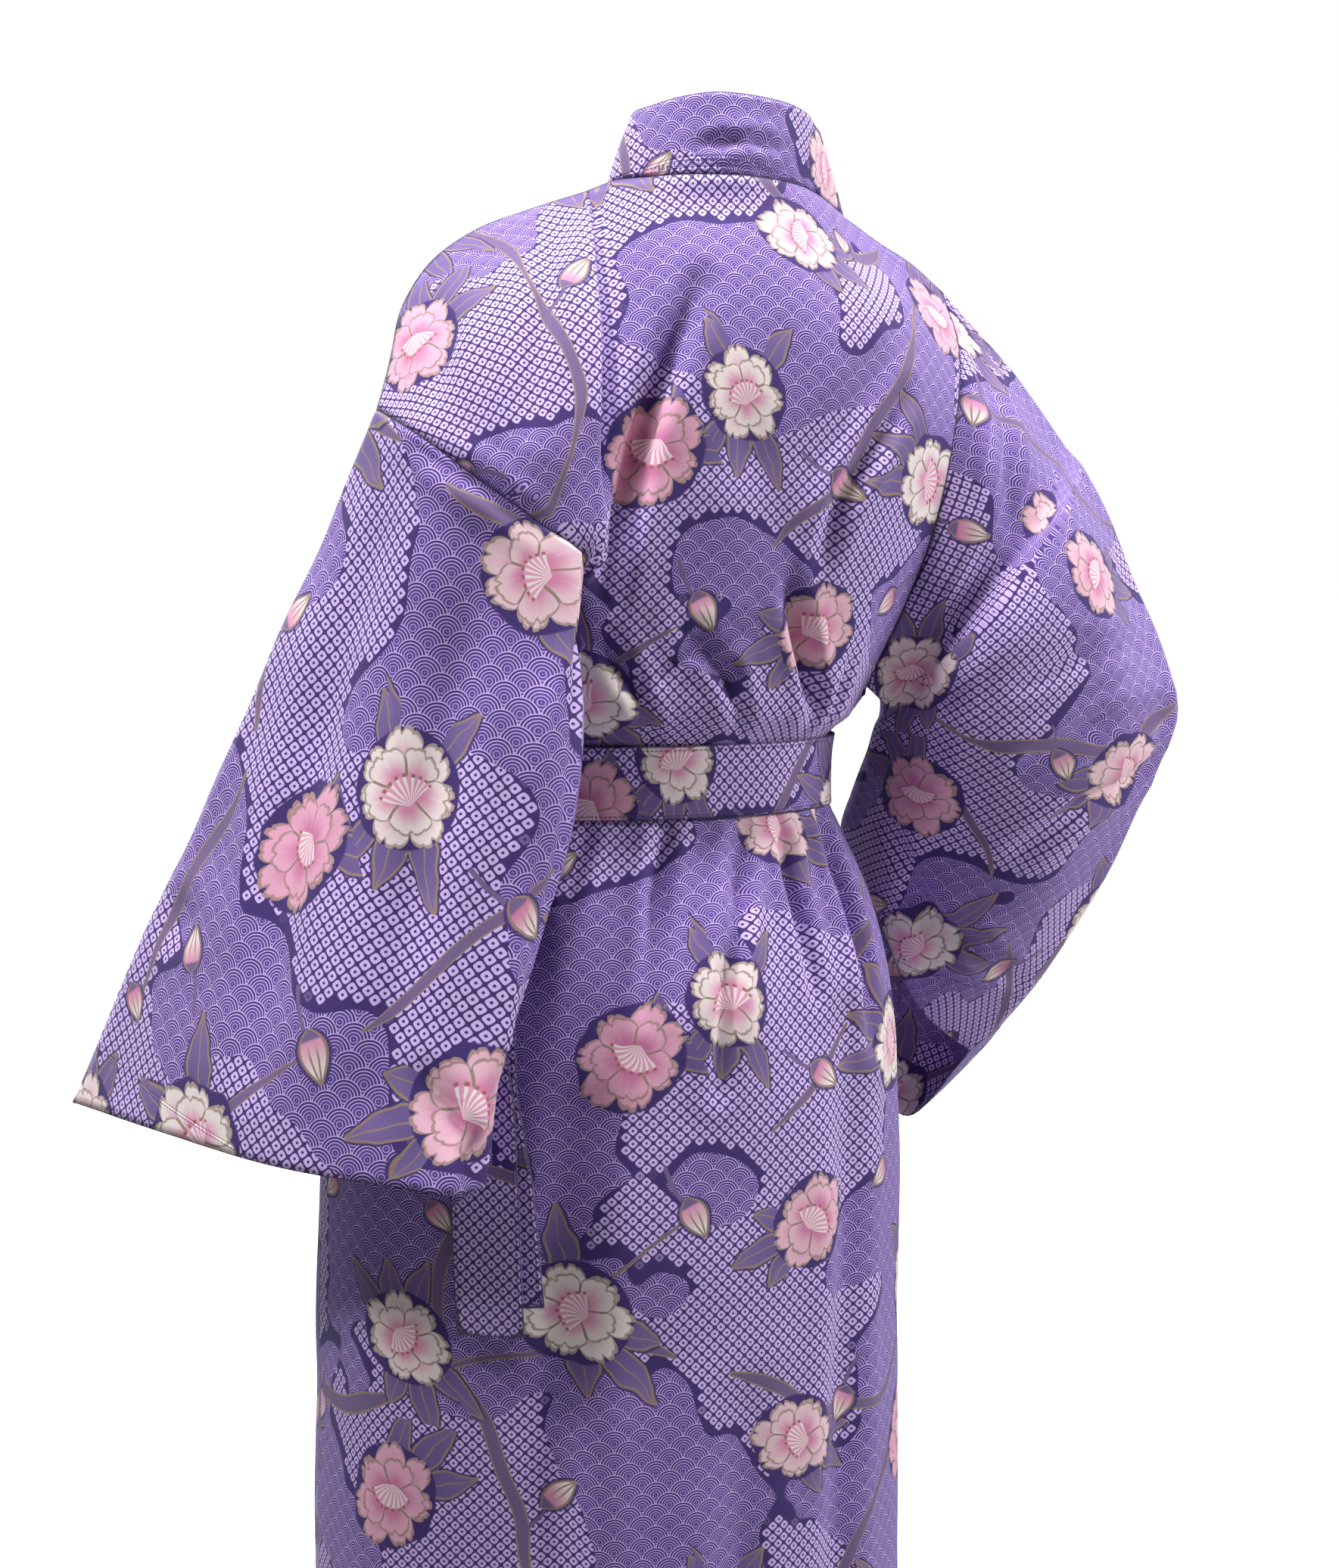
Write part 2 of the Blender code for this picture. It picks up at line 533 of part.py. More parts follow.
class Sheet:
    """One piece of cloth: its grid of outside points, its normals and its wall."""

    def __init__(self, name, grid, wall=WALL, ring=False, flip=False):
        self.name = name
        self.grid = np.array(grid)
        self.wall = wall
        self.ring = ring
        sign = -1.0 if flip else 1.0
        self.flip = flip
        self.normals = sign * surface_normals(self.grid, ring)

    def border(self):
        """Row and column of each point on the piece's edges."""
        rows, columns = self.grid.shape[:2]
        for row in range(rows):
            for column in range(columns):
                at_side = not self.ring and column in (0, columns - 1)
                if row in (0, rows - 1) or at_side:
                    yield row, column

    def part_edges(self, shared):
        """Draw each edge that meets another piece back by half the seam gap."""
        rows, columns = self.grid.shape[:2]
        moved = self.grid.copy()
        for row, column in self.border():
            if key(self.grid[row, column]) not in shared:
                continue
            for inward in self.inward_neighbours(row, column, rows, columns):
                pull = self.grid[inward] - self.grid[row, column]
                normal = self.normals[row, column]
                edge = self.edge_direction(row, column, inward, rows, columns)
                pull = pull - normal * (pull @ normal)
                pull = pull - edge * (pull @ edge)
                moved[row, column] += unit(pull) * SEAM_GAP / 2
        self.grid = moved

    def inward_neighbours(self, row, column, rows, columns):
        """The points next to a border point, square to each edge that it lies on."""
        if row in (0, rows - 1):
            yield (1 if row == 0 else rows - 2), column
        if not self.ring and column in (0, columns - 1):
            yield row, (1 if column == 0 else columns - 2)

    def edge_direction(self, row, column, inward, rows, columns):
        """Unit vector along the edge that the inward neighbour lies square to."""
        if inward[1] == column:
            before, after = column - 1, column + 1
            if self.ring:
                return unit(self.grid[row, after % columns] - self.grid[row, before])
            before, after = max(before, 0), min(after, columns - 1)
            return unit(self.grid[row, after] - self.grid[row, before])
        before, after = max(row - 1, 0), min(row + 1, rows - 1)
        return unit(self.grid[after, column] - self.grid[before, column])

    def build(self, collection):
        """Loft the outside and inside surfaces and close them along every free edge."""
        rows, columns = self.grid.shape[:2]
        mesh = bpy.data.meshes.new(self.name)
        shell = bmesh.new()
        outside = [[shell.verts.new(point) for point in line] for line in self.grid]
        inner = self.grid - self.normals * self.wall
        inside = [[shell.verts.new(point) for point in line] for line in inner]
        last = columns if self.ring else columns - 1
        for row in range(rows - 1):
            for column in range(last):
                beside = (column + 1) % columns
                for layer, turned in ((outside, False), (inside, True)):
                    face = [layer[row][column], layer[row + 1][column], layer[row + 1][beside], layer[row][beside]]
                    shell.faces.new(face[::-1] if turned else face)
        for row in (0, rows - 1):
            for column in range(last):
                beside = (column + 1) % columns
                close_rim(shell, (outside[row][column], inside[row][column]),
                          (outside[row][beside], inside[row][beside]))
        if not self.ring:
            for column in (0, columns - 1):
                for row in range(rows - 1):
                    close_rim(shell, (outside[row][column], inside[row][column]),
                              (outside[row + 1][column], inside[row + 1][column]))
        bmesh.ops.recalc_face_normals(shell, faces=shell.faces)
        shell.to_mesh(mesh)
        shell.free()
        mesh.shade_smooth()
        mesh.set_sharp_from_angle(angle=math.radians(50))
        thing = bpy.data.objects.new(self.name, mesh)
        collection.objects.link(thing)
        thing.data.materials.append(cotton(self.name))
        return thing


def close_rim(shell, here, beside):
    """Two faces across the wall's edge, split alike on both sides of a seam."""
    first, second = sorted((here, beside), key=lambda ends: ends[0].co @ RIM_ORDER)
    shell.faces.new((first[0], second[0], first[1]))
    shell.faces.new((second[0], second[1], first[1]))


def key(point):
    """A point's place to a hundredth of a millimetre, by which touching edges find each other."""
    return tuple(np.round(np.asarray(point) * 1e5).astype(int))


def join_seams(sheets):
    """Give touching edges one common normal, then part them by the seam gap."""
    sums = {}
    owners = {}
    for sheet in sheets:
        for row, column in sheet.border():
            place = key(sheet.grid[row, column])
            sums[place] = sums.get(place, 0) + sheet.normals[row, column]
            owners.setdefault(place, set()).add(sheet.name)
    shared = {place for place, names in owners.items() if len(names) > 1}
    for sheet in sheets:
        for row, column in sheet.border():
            place = key(sheet.grid[row, column])
            if place in shared:
                sheet.normals[row, column] = unit(sums[place])
    for sheet in sheets:
        sheet.part_edges(shared)


def cotton(name):
    """Matt printed cotton in a piece's own shade."""
    material = bpy.data.materials.new(f"cotton_{name}")
    material.use_nodes = True
    shader = material.node_tree.nodes["Principled BSDF"]
    shader.inputs["Base Color"].default_value = (*COTTON[name], 1.0)
    shader.inputs["Roughness"].default_value = 0.85
    shader.inputs["Metallic"].default_value = 0.0
    return material


def belt_sheet():
    """The belt's loop, standing a little off the cloth that it gathers."""
    angles = np.linspace(0.0, 360.0, BELT_COLUMNS, endpoint=False)
    heights = np.linspace(BELT_TOP, BELT_TOP - BELT_WIDTH, 3)
    out = BELT_CLEARANCE + BELT_WALL
    rows = [body(angles, np.full(BELT_COLUMNS, height), -out) for height in heights]
    return Sheet("belt", rows, BELT_WALL, ring=True)


def tail_sheet(name, route):
    """One hanging end of the belt, a flat band that follows its route over the hip."""
    angles, heights, off = run(route, TAIL_ROWS).T
    spine = body(angles, heights, -off)
    outward = unit(body(angles, heights, -2 * off) - spine)
    down = unit(np.gradient(spine, axis=0))
    across = unit(np.cross(outward, down))
    shares = np.linspace(-0.5, 0.5, 3)
    grid = spine[:, None] + across[:, None] * (shares * BELT_WIDTH * TAIL_TAPER)[None, :, None]
    return Sheet(name, grid, BELT_WALL)


def knot(collection):
    """The belt's knot, a soft rounded lump from a cube cage."""
    bpy.ops.mesh.primitive_cube_add(size=1.0)
    thing = bpy.context.object
    thing.name = "belt_knot"
    thing.data.name = "belt_knot"
    thing.data.transform(knot_matrix())
    rounded = thing.modifiers.new("rounded", "SUBSURF")
    rounded.levels = 2
    rounded.render_levels = 2
    for owner in thing.users_collection:
        owner.objects.unlink(thing)
    collection.objects.link(thing)
    thing.data.materials.append(cotton("belt_knot"))
    thing.data.shade_smooth()
    return thing


def knot_matrix():
    """Size, turn and place of the knot's cage."""
    size = Matrix.Diagonal((*(1.3 * value for value in KNOT_SIZE), 1.0))
    turn = Matrix.Rotation(math.radians(-46.5), 4, "Z")
    return Matrix.Translation(Vector(KNOT_PLACE)) @ turn @ size


def main():
    """Clear the scene and build every piece of the robe."""
    for thing in list(bpy.data.objects):
        bpy.data.objects.remove(thing)
    collection = bpy.data.collections.new("yukata_robe")
    bpy.context.scene.collection.children.link(collection)

    back = back_points()
    last = len(YOKE_ROWS) - 1
    left_front = front_points(back[0, :NECK_LEFT_COLUMN + 1], back[last, 0], LEFT_FRONT_GUIDES,
                              LEFT_CROSSING, 1, 3, LEFT_ARMPIT)
    right_top = back[0, :NECK_RIGHT_COLUMN - 1:-1]
    right_front = front_points(right_top, back[last, -1], RIGHT_FRONT_GUIDES,
                               RIGHT_CROSSING, 2, 4, RIGHT_ARMPIT)
    left_front[last:, 0] = back[last:, 0]
    right_front[last:, 0] = back[last:, -1]

    left_hole = np.concatenate((back[:last + 1, 0], left_front[last - 1:0:-1, 0]))
    right_hole = np.concatenate((back[:last + 1, -1], right_front[last - 1:0:-1, 0]))
    blunt = (last - EDGE_ROW) // 2
    left_breaks = ((0, 3, EDGE_ROW), (3, 4, blunt), (4, 5, blunt), (5, 7, last))
    right_breaks = ((0, 3, last), (3, 6, last))
    left_sleeve = sleeve_rows(left_hole, LEFT_SLEEVE, left_breaks, LEFT_SLEEVE_STEPS)
    right_sleeve = sleeve_rows(right_hole, RIGHT_SLEEVE, right_breaks, RIGHT_SLEEVE_STEPS)
    collar = bow_collar(collar_points(left_front, right_front, back))

    sewn = [
        Sheet("back", back),
        Sheet("left_front", left_front, flip=True),
        Sheet("right_front", right_front),
        Sheet("left_sleeve", left_sleeve, ring=True),
        Sheet("right_sleeve", right_sleeve, ring=True, flip=True),
        Sheet("collar", collar, COLLAR_WALL),
    ]
    join_seams(sewn)
    loose = [belt_sheet()] + [tail_sheet(name, route) for name, route in TAIL_ROUTES.items()]
    for sheet in sewn + loose:
        sheet.build(collection)
    knot(collection)


main()
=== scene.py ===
"""Cotton yukata robe in its hollow worn form, ready to render.

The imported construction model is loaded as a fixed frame. Each of its sewn pieces is made again here as thin
printed cotton on the same sections, with its creases, hems and stitches. Units are metres and +Z is up, the
garment faces -Y and the wearer's left is +X. The origin is at the nape, where the robe is held.
"""

import logging
import math
from dataclasses import dataclass, field
from enum import Enum
from typing import Callable, Optional

import bmesh
import bpy
import numpy as np
from mathutils import Matrix, Vector

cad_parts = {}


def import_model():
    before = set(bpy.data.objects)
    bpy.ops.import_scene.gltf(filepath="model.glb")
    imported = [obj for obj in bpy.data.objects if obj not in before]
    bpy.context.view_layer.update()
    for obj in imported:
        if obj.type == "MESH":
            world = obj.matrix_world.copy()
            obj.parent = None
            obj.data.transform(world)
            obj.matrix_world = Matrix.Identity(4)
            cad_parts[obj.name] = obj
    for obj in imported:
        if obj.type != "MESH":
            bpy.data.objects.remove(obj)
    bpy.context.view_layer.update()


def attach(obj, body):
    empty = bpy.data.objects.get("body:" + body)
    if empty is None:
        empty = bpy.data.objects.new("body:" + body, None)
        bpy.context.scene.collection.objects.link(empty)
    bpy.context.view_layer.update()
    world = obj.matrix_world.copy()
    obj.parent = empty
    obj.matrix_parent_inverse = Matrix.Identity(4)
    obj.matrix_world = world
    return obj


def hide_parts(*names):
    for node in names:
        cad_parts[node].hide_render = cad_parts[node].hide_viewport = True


Array = np.ndarray

LOG = logging.getLogger("yukata_robe")
BODY = "root"

# Driving dimensions, the same as the construction model's
ROBE_LENGTH = 1.27
COLLAR_WIDTH = 0.050
COLLAR_END = -0.64
UNDERLAP = 0.0085
BELT_TOP = -0.372
BELT_WIDTH = 0.048
BELT_WALL = 0.0024
BELT_CLEARANCE = 0.0010
TAIL_TAPER = 0.94
TAIL_ROWS = 10

# Thickness of the dressed cloth: single, folded at the belt and folded at the collar
CLOTH = 0.0011
BELT_CLOTH = 0.0016
COLLAR_CLOTH = 0.0020

# Control rows and columns
YOKE_ROWS = (0.0, 0.35, 0.7, 1.0, 1.35, 1.7, 2.0, 2.35, 2.7, 3.0, 3.4, 3.55, 3.7, 3.85, 4.0)
EDGE_ROW = 10
WAIST_ROWS = 3
SKIRT_LEVELS = (-0.396, -0.420, -0.440, -0.475, -0.52, -0.58, -0.65, -0.73, -0.82, -0.91, -1.00, -1.09, -1.18)
FLAP_COLUMNS = 6
STEP_COLUMNS = 2
NECK_LEFT_COLUMN = 10
NECK_RIGHT_COLUMN = 19
BACK_COLUMNS = 27
GUIDE_TOPS = (15, 21)
GUIDE_ENDS = (13, 18, 22)
COLLAR_COLUMNS = 3
LEFT_SLEEVE_STEPS = 3
RIGHT_SLEEVE_STEPS = 2
BELT_COLUMNS = 44

# How the columns even out down the yoke, how its last row falls, and which rows are eased together
EVEN_LEVEL = 2.6
YOKE_ANGLES = (15.0, 160.0)
BACK_DROP = 1.2
FRONT_DROP = 0.7
RELAXED_ROWS = (-4, 2)
RELAXED_PASSES = 4

# Overlap of the flap and of the right front, and bow of the collar band across its width
FLAP_OVERHANG = 0.0030
UNDERLAP_EASE = 0.30
COLLAR_BOW = 0.004

# Length of cloth between rows and columns, and the finest step between the dressed cloth's points
YOKE_STEP = 0.0675
WAIST_STEP = 0.021
COLUMN_GAP = 0.02
SLEEVE_STEP = 0.03
COLLAR_GAP = 0.017
BELT_STEP = 0.024
BELT_GAP = 0.018
TAIL_STEP = 0.03
TAIL_GAP = 0.022
FINE = 0.0072

# Fine steps between two columns, and between two rows of a sleeve
BACK_FINE = 5
LEFT_FRONT_FINE = 10
RIGHT_FRONT_FINE = 15
LEFT_SLEEVE_FINE = 5
RIGHT_SLEEVE_FINE = 4
COLLAR_FINE = 5
BELT_FINE = 8
LOOP_FINE = 4
TAIL_FINE = 5

# Column where a closed piece is opened to lie flat, and share of its width where it is laid down first
SLEEVE_CUT = 14
LEFT_SLEEVE_MIDDLE = 0.68
RIGHT_SLEEVE_MIDDLE = 0.75
BELT_CUT = 4
BELT_MIDDLE = 0.4

# Laying a piece flat: how many passes, and how much of a stretch each pass takes out
FLAT_PASSES = 500
FLAT_PULL = 0.22

# Creases: how strongly they are pressed in, and where and how high their ridges stand. Then the cloth's
# small unevenness at the collar and elsewhere, and how far apart two edges may stand to be sewn.
CREASE_GAIN = 2.4
RIDGE_AWAY = 1.9
RIDGE_SHARE = 0.42
COLLAR_RIPPLE = 0.0005
RIPPLE = 0.0012
SEAM_REACH = 0.004

# Print: rise from one row of wave scales to the next, and the angle between a flower's leaves in radians
FAN_RISE = 0.82
LEAF_SPREAD = 0.56
HALF_TURN = math.pi
FULL_TURN = 2 * math.pi
EIGHTH_TURN = 0.7071

# Hem: distance of the stitch line and of the fold's end from the edge, how much nearer they are to it on
# the collar and the belt, stitches to the metre, and the threads' phase to the metre
STITCH_LINE = 0.0072
FOLD_LINE = 0.0088
COLLAR_HEM = 0.0055
BELT_HEM = 0.0045
STITCHES = 330.0
THREADS = 7000.0

# Where each piece lies in the print's repeat, and its turn there in radians
PRINT_PLACES = {
    "back": ((0.150, 0.330), 0.0),
    "left_front": ((0.61, 0.12), 0.0),
    "right_front": ((0.93, 0.27), 0.0),
    "left_sleeve": ((0.07, 0.05), -0.16),
    "right_sleeve": ((0.31, 0.18), 0.12),
    "collar": ((0.2, 0.75), 1.5708),
    "belt": ((0.35, 0.62), 0.0),
    "belt_tail_outer": ((0.55, 0.31), 0.1),
    "belt_tail_inner": ((0.24, 0.92), 0.1),
}
LEFT_SLEEVE_STRETCH = 1.22

# Body sections: height, centre across, half width, half depth and squareness of the corners
RINGS = np.array((
    (-0.230, 0.024, 0.148, 0.122, 0.78),
    (-0.300, 0.027, 0.148, 0.121, 0.78),
    (-0.345, 0.034, 0.151, 0.119, 0.80),
    (-0.362, 0.036, 0.143, 0.108, 0.86),
    (BELT_TOP, 0.036, 0.132, 0.098, 0.92),
    (-0.396, 0.036, 0.130, 0.096, 0.94),
    (-0.420, 0.037, 0.132, 0.098, 0.94),
    (-0.440, 0.039, 0.143, 0.108, 0.95),
    (-0.500, 0.050, 0.177, 0.137, 0.96),
    (-0.600, 0.060, 0.202, 0.154, 0.97),
    (-0.800, 0.061, 0.208, 0.160, 0.96),
    (-ROBE_LENGTH, 0.061, 0.216, 0.170, 0.96),
))

# Height, then the angle in degrees of the left seam, right seam, left and right front edges
SEAM_ANGLES = np.array((
    (-0.230, 15.0, 160.0, -92.0, 272.0),
    (-0.260, 15.0, 160.0, -93.0, 273.0),
    (-0.340, 8.0, 160.0, -102.0, 282.0),
    (-0.400, 0.0, 178.0, -110.0, 290.0),
    (-0.640, 0.0, 180.0, -122.0, 302.0),
    (-ROBE_LENGTH, 0.0, 180.0, -127.0, 307.0),
))

# Shoulder line from the left armhole's top to the neck, and from the neck to the right armhole's top
LEFT_SHOULDER = (
    (0.228, 0.030, -0.155),
    (0.214, 0.017, -0.116),
    (0.203, 0.005, -0.084),
    (0.187, 0.000, -0.060),
    (0.168, 0.000, -0.044),
    (0.136, 0.002, -0.0275),
    (0.100, 0.010, -0.016),
    (0.084, 0.018, -0.010),
)
NECK_LINE = (
    (0.067, 0.030, -0.003),
    (0.032, 0.072, -0.003),
    (-0.005, 0.081, -0.003),
    (-0.041, 0.067, -0.003),
    (-0.080, 0.034, -0.006),
    (-0.115, -0.005, -0.0134),
)
RIGHT_SHOULDER = (
    (-0.115, -0.005, -0.0134),
    (-0.140, -0.002, -0.030),
    (-0.165, 0.000, -0.0433),
    (-0.190, 0.000, -0.0616),
)

# Back yoke, a row for each level: left armhole, middle of the flap, flap's edge and its depth
FLAP_LEVELS = (0.0, 1.0, 2.0, 3.0, 3.4, 3.7, 4.0)
LEFT_ARMHOLE_BACK = (
    (0.228, 0.030, -0.155),
    (0.214, 0.078, -0.172),
    (0.183, 0.108, -0.200),
    (0.146, 0.121, -0.229),
    (0.1195, 0.1225, -0.251),
    (0.142, 0.088, -0.266),
    (0.173, 0.032, -0.280),
)
FLAP_MIDDLE = (
    (0.187, 0.000, -0.060),
    (0.166, 0.074, -0.104),
    (0.148, 0.112, -0.158),
    (0.130, 0.1255, -0.209),
    (0.1155, 0.1245, -0.250),
    (0.135, 0.098, -0.266),
    (0.165, 0.054, -0.281),
)
FLAP_EDGE = (
    (0.084, 0.018, -0.010),
    (0.096, 0.072, -0.055),
    (0.1035, 0.109, -0.120),
    (0.108, 0.124, -0.190),
    (0.1115, 0.1265, -0.249),
    (0.127, 0.108, -0.266),
    (0.155, 0.070, -0.282),
)
FLAP_DEPTH = (0.0, 0.010, 0.013, 0.012, 0.005, 0.0, 0.0)
FLAP_TABLES = (LEFT_ARMHOLE_BACK, FLAP_MIDDLE, FLAP_EDGE, FLAP_DEPTH)

# Back yoke right of the flap: level, then left, centre and right guides and the right armhole
BACK_LEVELS = (1.0, 2.0, 3.0)
BACK_GUIDES = (
    ((0.060, 0.094, -0.060), (-0.015, 0.106, -0.068), (-0.100, 0.084, -0.078), (-0.187, 0.030, -0.100)),
    ((0.060, 0.119, -0.128), (-0.012, 0.121, -0.140), (-0.095, 0.112, -0.150), (-0.168, 0.066, -0.160)),
    ((0.060, 0.125, -0.198), (-0.004, 0.124, -0.212), (-0.085, 0.110, -0.232), (-0.148, 0.070, -0.240)),
)

# Fronts, a row for each level: armhole, chest and collar seam
FRONT_LEVELS = (0.0, 1.0, 2.0, 3.0, 4.0)
LEFT_FRONT_GUIDES = (
    ((0.218, -0.030, -0.172), (0.145, -0.050, -0.060), (0.064, -0.045, -0.040)),
    ((0.206, -0.058, -0.207), (0.138, -0.092, -0.140), (0.055, -0.088, -0.105)),
    ((0.194, -0.040, -0.250), (0.130, -0.110, -0.215), (0.040, -0.115, -0.175)),
)
RIGHT_FRONT_GUIDES = (
    ((-0.180, -0.045, -0.105), (-0.148, -0.058, -0.072), (-0.108, -0.050, -0.050)),
    ((-0.166, -0.078, -0.180), (-0.130, -0.094, -0.142), (-0.090, -0.080, -0.112)),
    ((-0.146, -0.070, -0.262), (-0.112, -0.104, -0.220), (-0.060, -0.102, -0.185)),
)
LEFT_CROSSING = -0.255
RIGHT_CROSSING = -0.265
LEFT_ARMPIT = -0.280
RIGHT_ARMPIT = -0.340

# Collar's free edge: left front levels 1 to 3, round the neck from left to right, right levels 1 to 3
COLLAR_EDGE_LEFT = ((0.030, -0.062, -0.004), (0.012, -0.104, -0.084), (-0.007, -0.129, -0.163))
COLLAR_EDGE_NECK = (
    (0.050, 0.018, 0.043),
    (0.034, 0.052, 0.048),
    (0.009, 0.070, 0.051),
    (-0.022, 0.069, 0.050),
    (-0.064, 0.044, 0.047),
    (-0.092, 0.006, 0.038),
)
COLLAR_EDGE_RIGHT = ((-0.075, -0.060, -0.012), (-0.048, -0.096, -0.092), (-0.016, -0.112, -0.172))

# Soft troughs of the upper back: from (across, height) to (across, height), width and depth
BACK_TROUGHS = (
    (0.037, -0.070, 0.088, -0.225, 0.018, 0.007),
    (-0.105, -0.112, -0.040, -0.200, 0.017, 0.007),
    (-0.020, -0.278, -0.052, -0.352, 0.016, 0.005),
    (0.020, -0.140, -0.030, -0.270, 0.020, 0.004),
)

# Skirt folds: angle, swing of the angle towards the hem, width in degrees, depth, then the heights
# where the fold starts, is full, begins to fade and is gone
SKIRT_FOLDS = (
    (97.0, -4.0, 8.0, 0.007, -0.43, -0.47, -0.49, -0.64),
    (118.0, 4.0, 8.0, -0.005, -0.44, -0.49, -0.52, -0.70),
    (140.0, 6.0, 9.0, 0.004, -0.44, -0.50, -0.52, -0.74),
    (66.0, -10.0, 12.0, -0.006, -0.46, -0.60, -0.90, -1.20),
    (158.0, 6.0, 8.0, 0.005, -0.43, -0.50, -0.60, -0.90),
    (30.0, -6.0, 12.0, 0.006, -0.50, -0.75, -1.10, -1.30),
    (-30.0, -6.0, 13.0, -0.007, -0.45, -0.62, -1.00, -1.30),
    (-62.0, -4.0, 11.0, 0.006, -0.45, -0.60, -0.90, -1.20),
    (212.0, 5.0, 12.0, -0.006, -0.45, -0.60, -0.90, -1.20),
    (112.0, 14.0, 14.0, -0.005, -0.70, -1.00, -1.20, -1.40),
)

# Left sleeve, a row for each section from the armhole to the cuff: outer fold, two points of the
# back layer, near and far edge of the blunt end, and two points of the inner layer
LEFT_SLEEVE = (
    ((0.248, 0.004, -0.215), (0.236, 0.064, -0.240), (0.194, 0.112, -0.266), (0.127, 0.136, -0.296),
     (0.128, 0.120, -0.296), (0.198, 0.062, -0.294), (0.232, -0.030, -0.250)),
    ((0.291, -0.012, -0.314), (0.266, 0.045, -0.325), (0.215, 0.110, -0.338), (0.142, 0.147, -0.344),
     (0.119, 0.126, -0.345), (0.188, 0.066, -0.338), (0.243, 0.006, -0.322)),
    ((0.336, -0.044, -0.424), (0.303, 0.034, -0.431), (0.246, 0.118, -0.446), (0.160, 0.158, -0.448),
     (0.139, 0.137, -0.449), (0.199, 0.082, -0.440), (0.267, 0.012, -0.430)),
    ((0.382, -0.078, -0.534), (0.340, 0.027, -0.537), (0.280, 0.122, -0.546), (0.184, 0.172, -0.550),
     (0.182, 0.148, -0.551), (0.238, 0.084, -0.546), (0.304, -0.004, -0.544)),
    ((0.417, -0.108, -0.625), (0.370, 0.012, -0.622), (0.308, 0.112, -0.626), (0.220, 0.180, -0.633),
     (0.194, 0.158, -0.635), (0.250, 0.084, -0.632), (0.333, -0.018, -0.634)),
)

# Right sleeve, a row for each section: outer fold, back layer, ridge, inner fold, and two points of
# the front layer. The third and fourth rows are the step of the crease from elbow to armpit.
RIGHT_SLEEVE = (
    ((-0.238, 0.010, -0.114), (-0.206, 0.076, -0.172), (-0.170, 0.086, -0.245), (-0.130, 0.037, -0.354),
     (-0.156, -0.074, -0.270), (-0.205, -0.062, -0.158)),
    ((-0.280, 0.016, -0.168), (-0.236, 0.074, -0.212), (-0.180, 0.080, -0.280), (-0.133, 0.031, -0.360),
     (-0.170, -0.075, -0.292), (-0.246, -0.052, -0.196)),
    ((-0.296, 0.021, -0.187), (-0.240, 0.088, -0.228), (-0.170, 0.094, -0.304), (-0.136, 0.023, -0.364),
     (-0.178, -0.073, -0.312), (-0.262, -0.050, -0.222)),
    ((-0.334, 0.030, -0.269), (-0.265, 0.094, -0.300), (-0.166, 0.094, -0.346), (-0.134, 0.010, -0.371),
     (-0.192, -0.070, -0.350), (-0.284, -0.046, -0.296)),
    ((-0.366, 0.040, -0.361), (-0.280, 0.090, -0.372), (-0.162, 0.086, -0.378), (-0.134, 0.000, -0.387),
     (-0.202, -0.076, -0.386), (-0.304, -0.048, -0.370)),
    ((-0.340, 0.030, -0.436), (-0.264, 0.078, -0.432), (-0.153, 0.066, -0.402), (-0.133, -0.010, -0.404),
     (-0.196, -0.094, -0.434), (-0.290, -0.062, -0.452)),
    ((-0.309, 0.010, -0.517), (-0.234, 0.056, -0.486), (-0.146, 0.042, -0.424), (-0.132, -0.022, -0.424),
     (-0.186, -0.112, -0.486), (-0.268, -0.076, -0.548)),
    ((-0.272, -0.012, -0.581), (-0.206, 0.026, -0.532), (-0.141, 0.016, -0.450), (-0.132, -0.036, -0.442),
     (-0.178, -0.128, -0.530), (-0.260, -0.092, -0.641)),
    ((-0.239, -0.040, -0.625), (-0.178, -0.010, -0.576), (-0.145, -0.014, -0.500), (-0.136, -0.050, -0.458),
     (-0.170, -0.142, -0.566), (-0.220, -0.108, -0.690)),
)

# Belt: the knot, and each hanging end's route as (angle, height, distance off the cloth)
KNOT_PLACE = (0.1556, 0.0677, -0.396)
KNOT_SIZE = (0.034, 0.022, 0.042)
TAIL_ROUTES = {
    "belt_tail_outer": ((37.0, -0.4193, 0.0175), (46.0, -0.500, 0.0150), (50.0, -0.570, 0.0150),
                        (54.0, -0.650, 0.0150), (55.0, -0.738, 0.0150)),
    "belt_tail_inner": ((37.0, -0.4193, 0.0143), (46.0, -0.500, 0.0095), (51.0, -0.570, 0.0095),
                        (56.0, -0.650, 0.0095), (58.0, -0.722, 0.0095)),
}


class Facing(Enum):
    """Which way a control grid's rows and columns turn its outside."""

    OUT = 1.0
    IN = -1.0


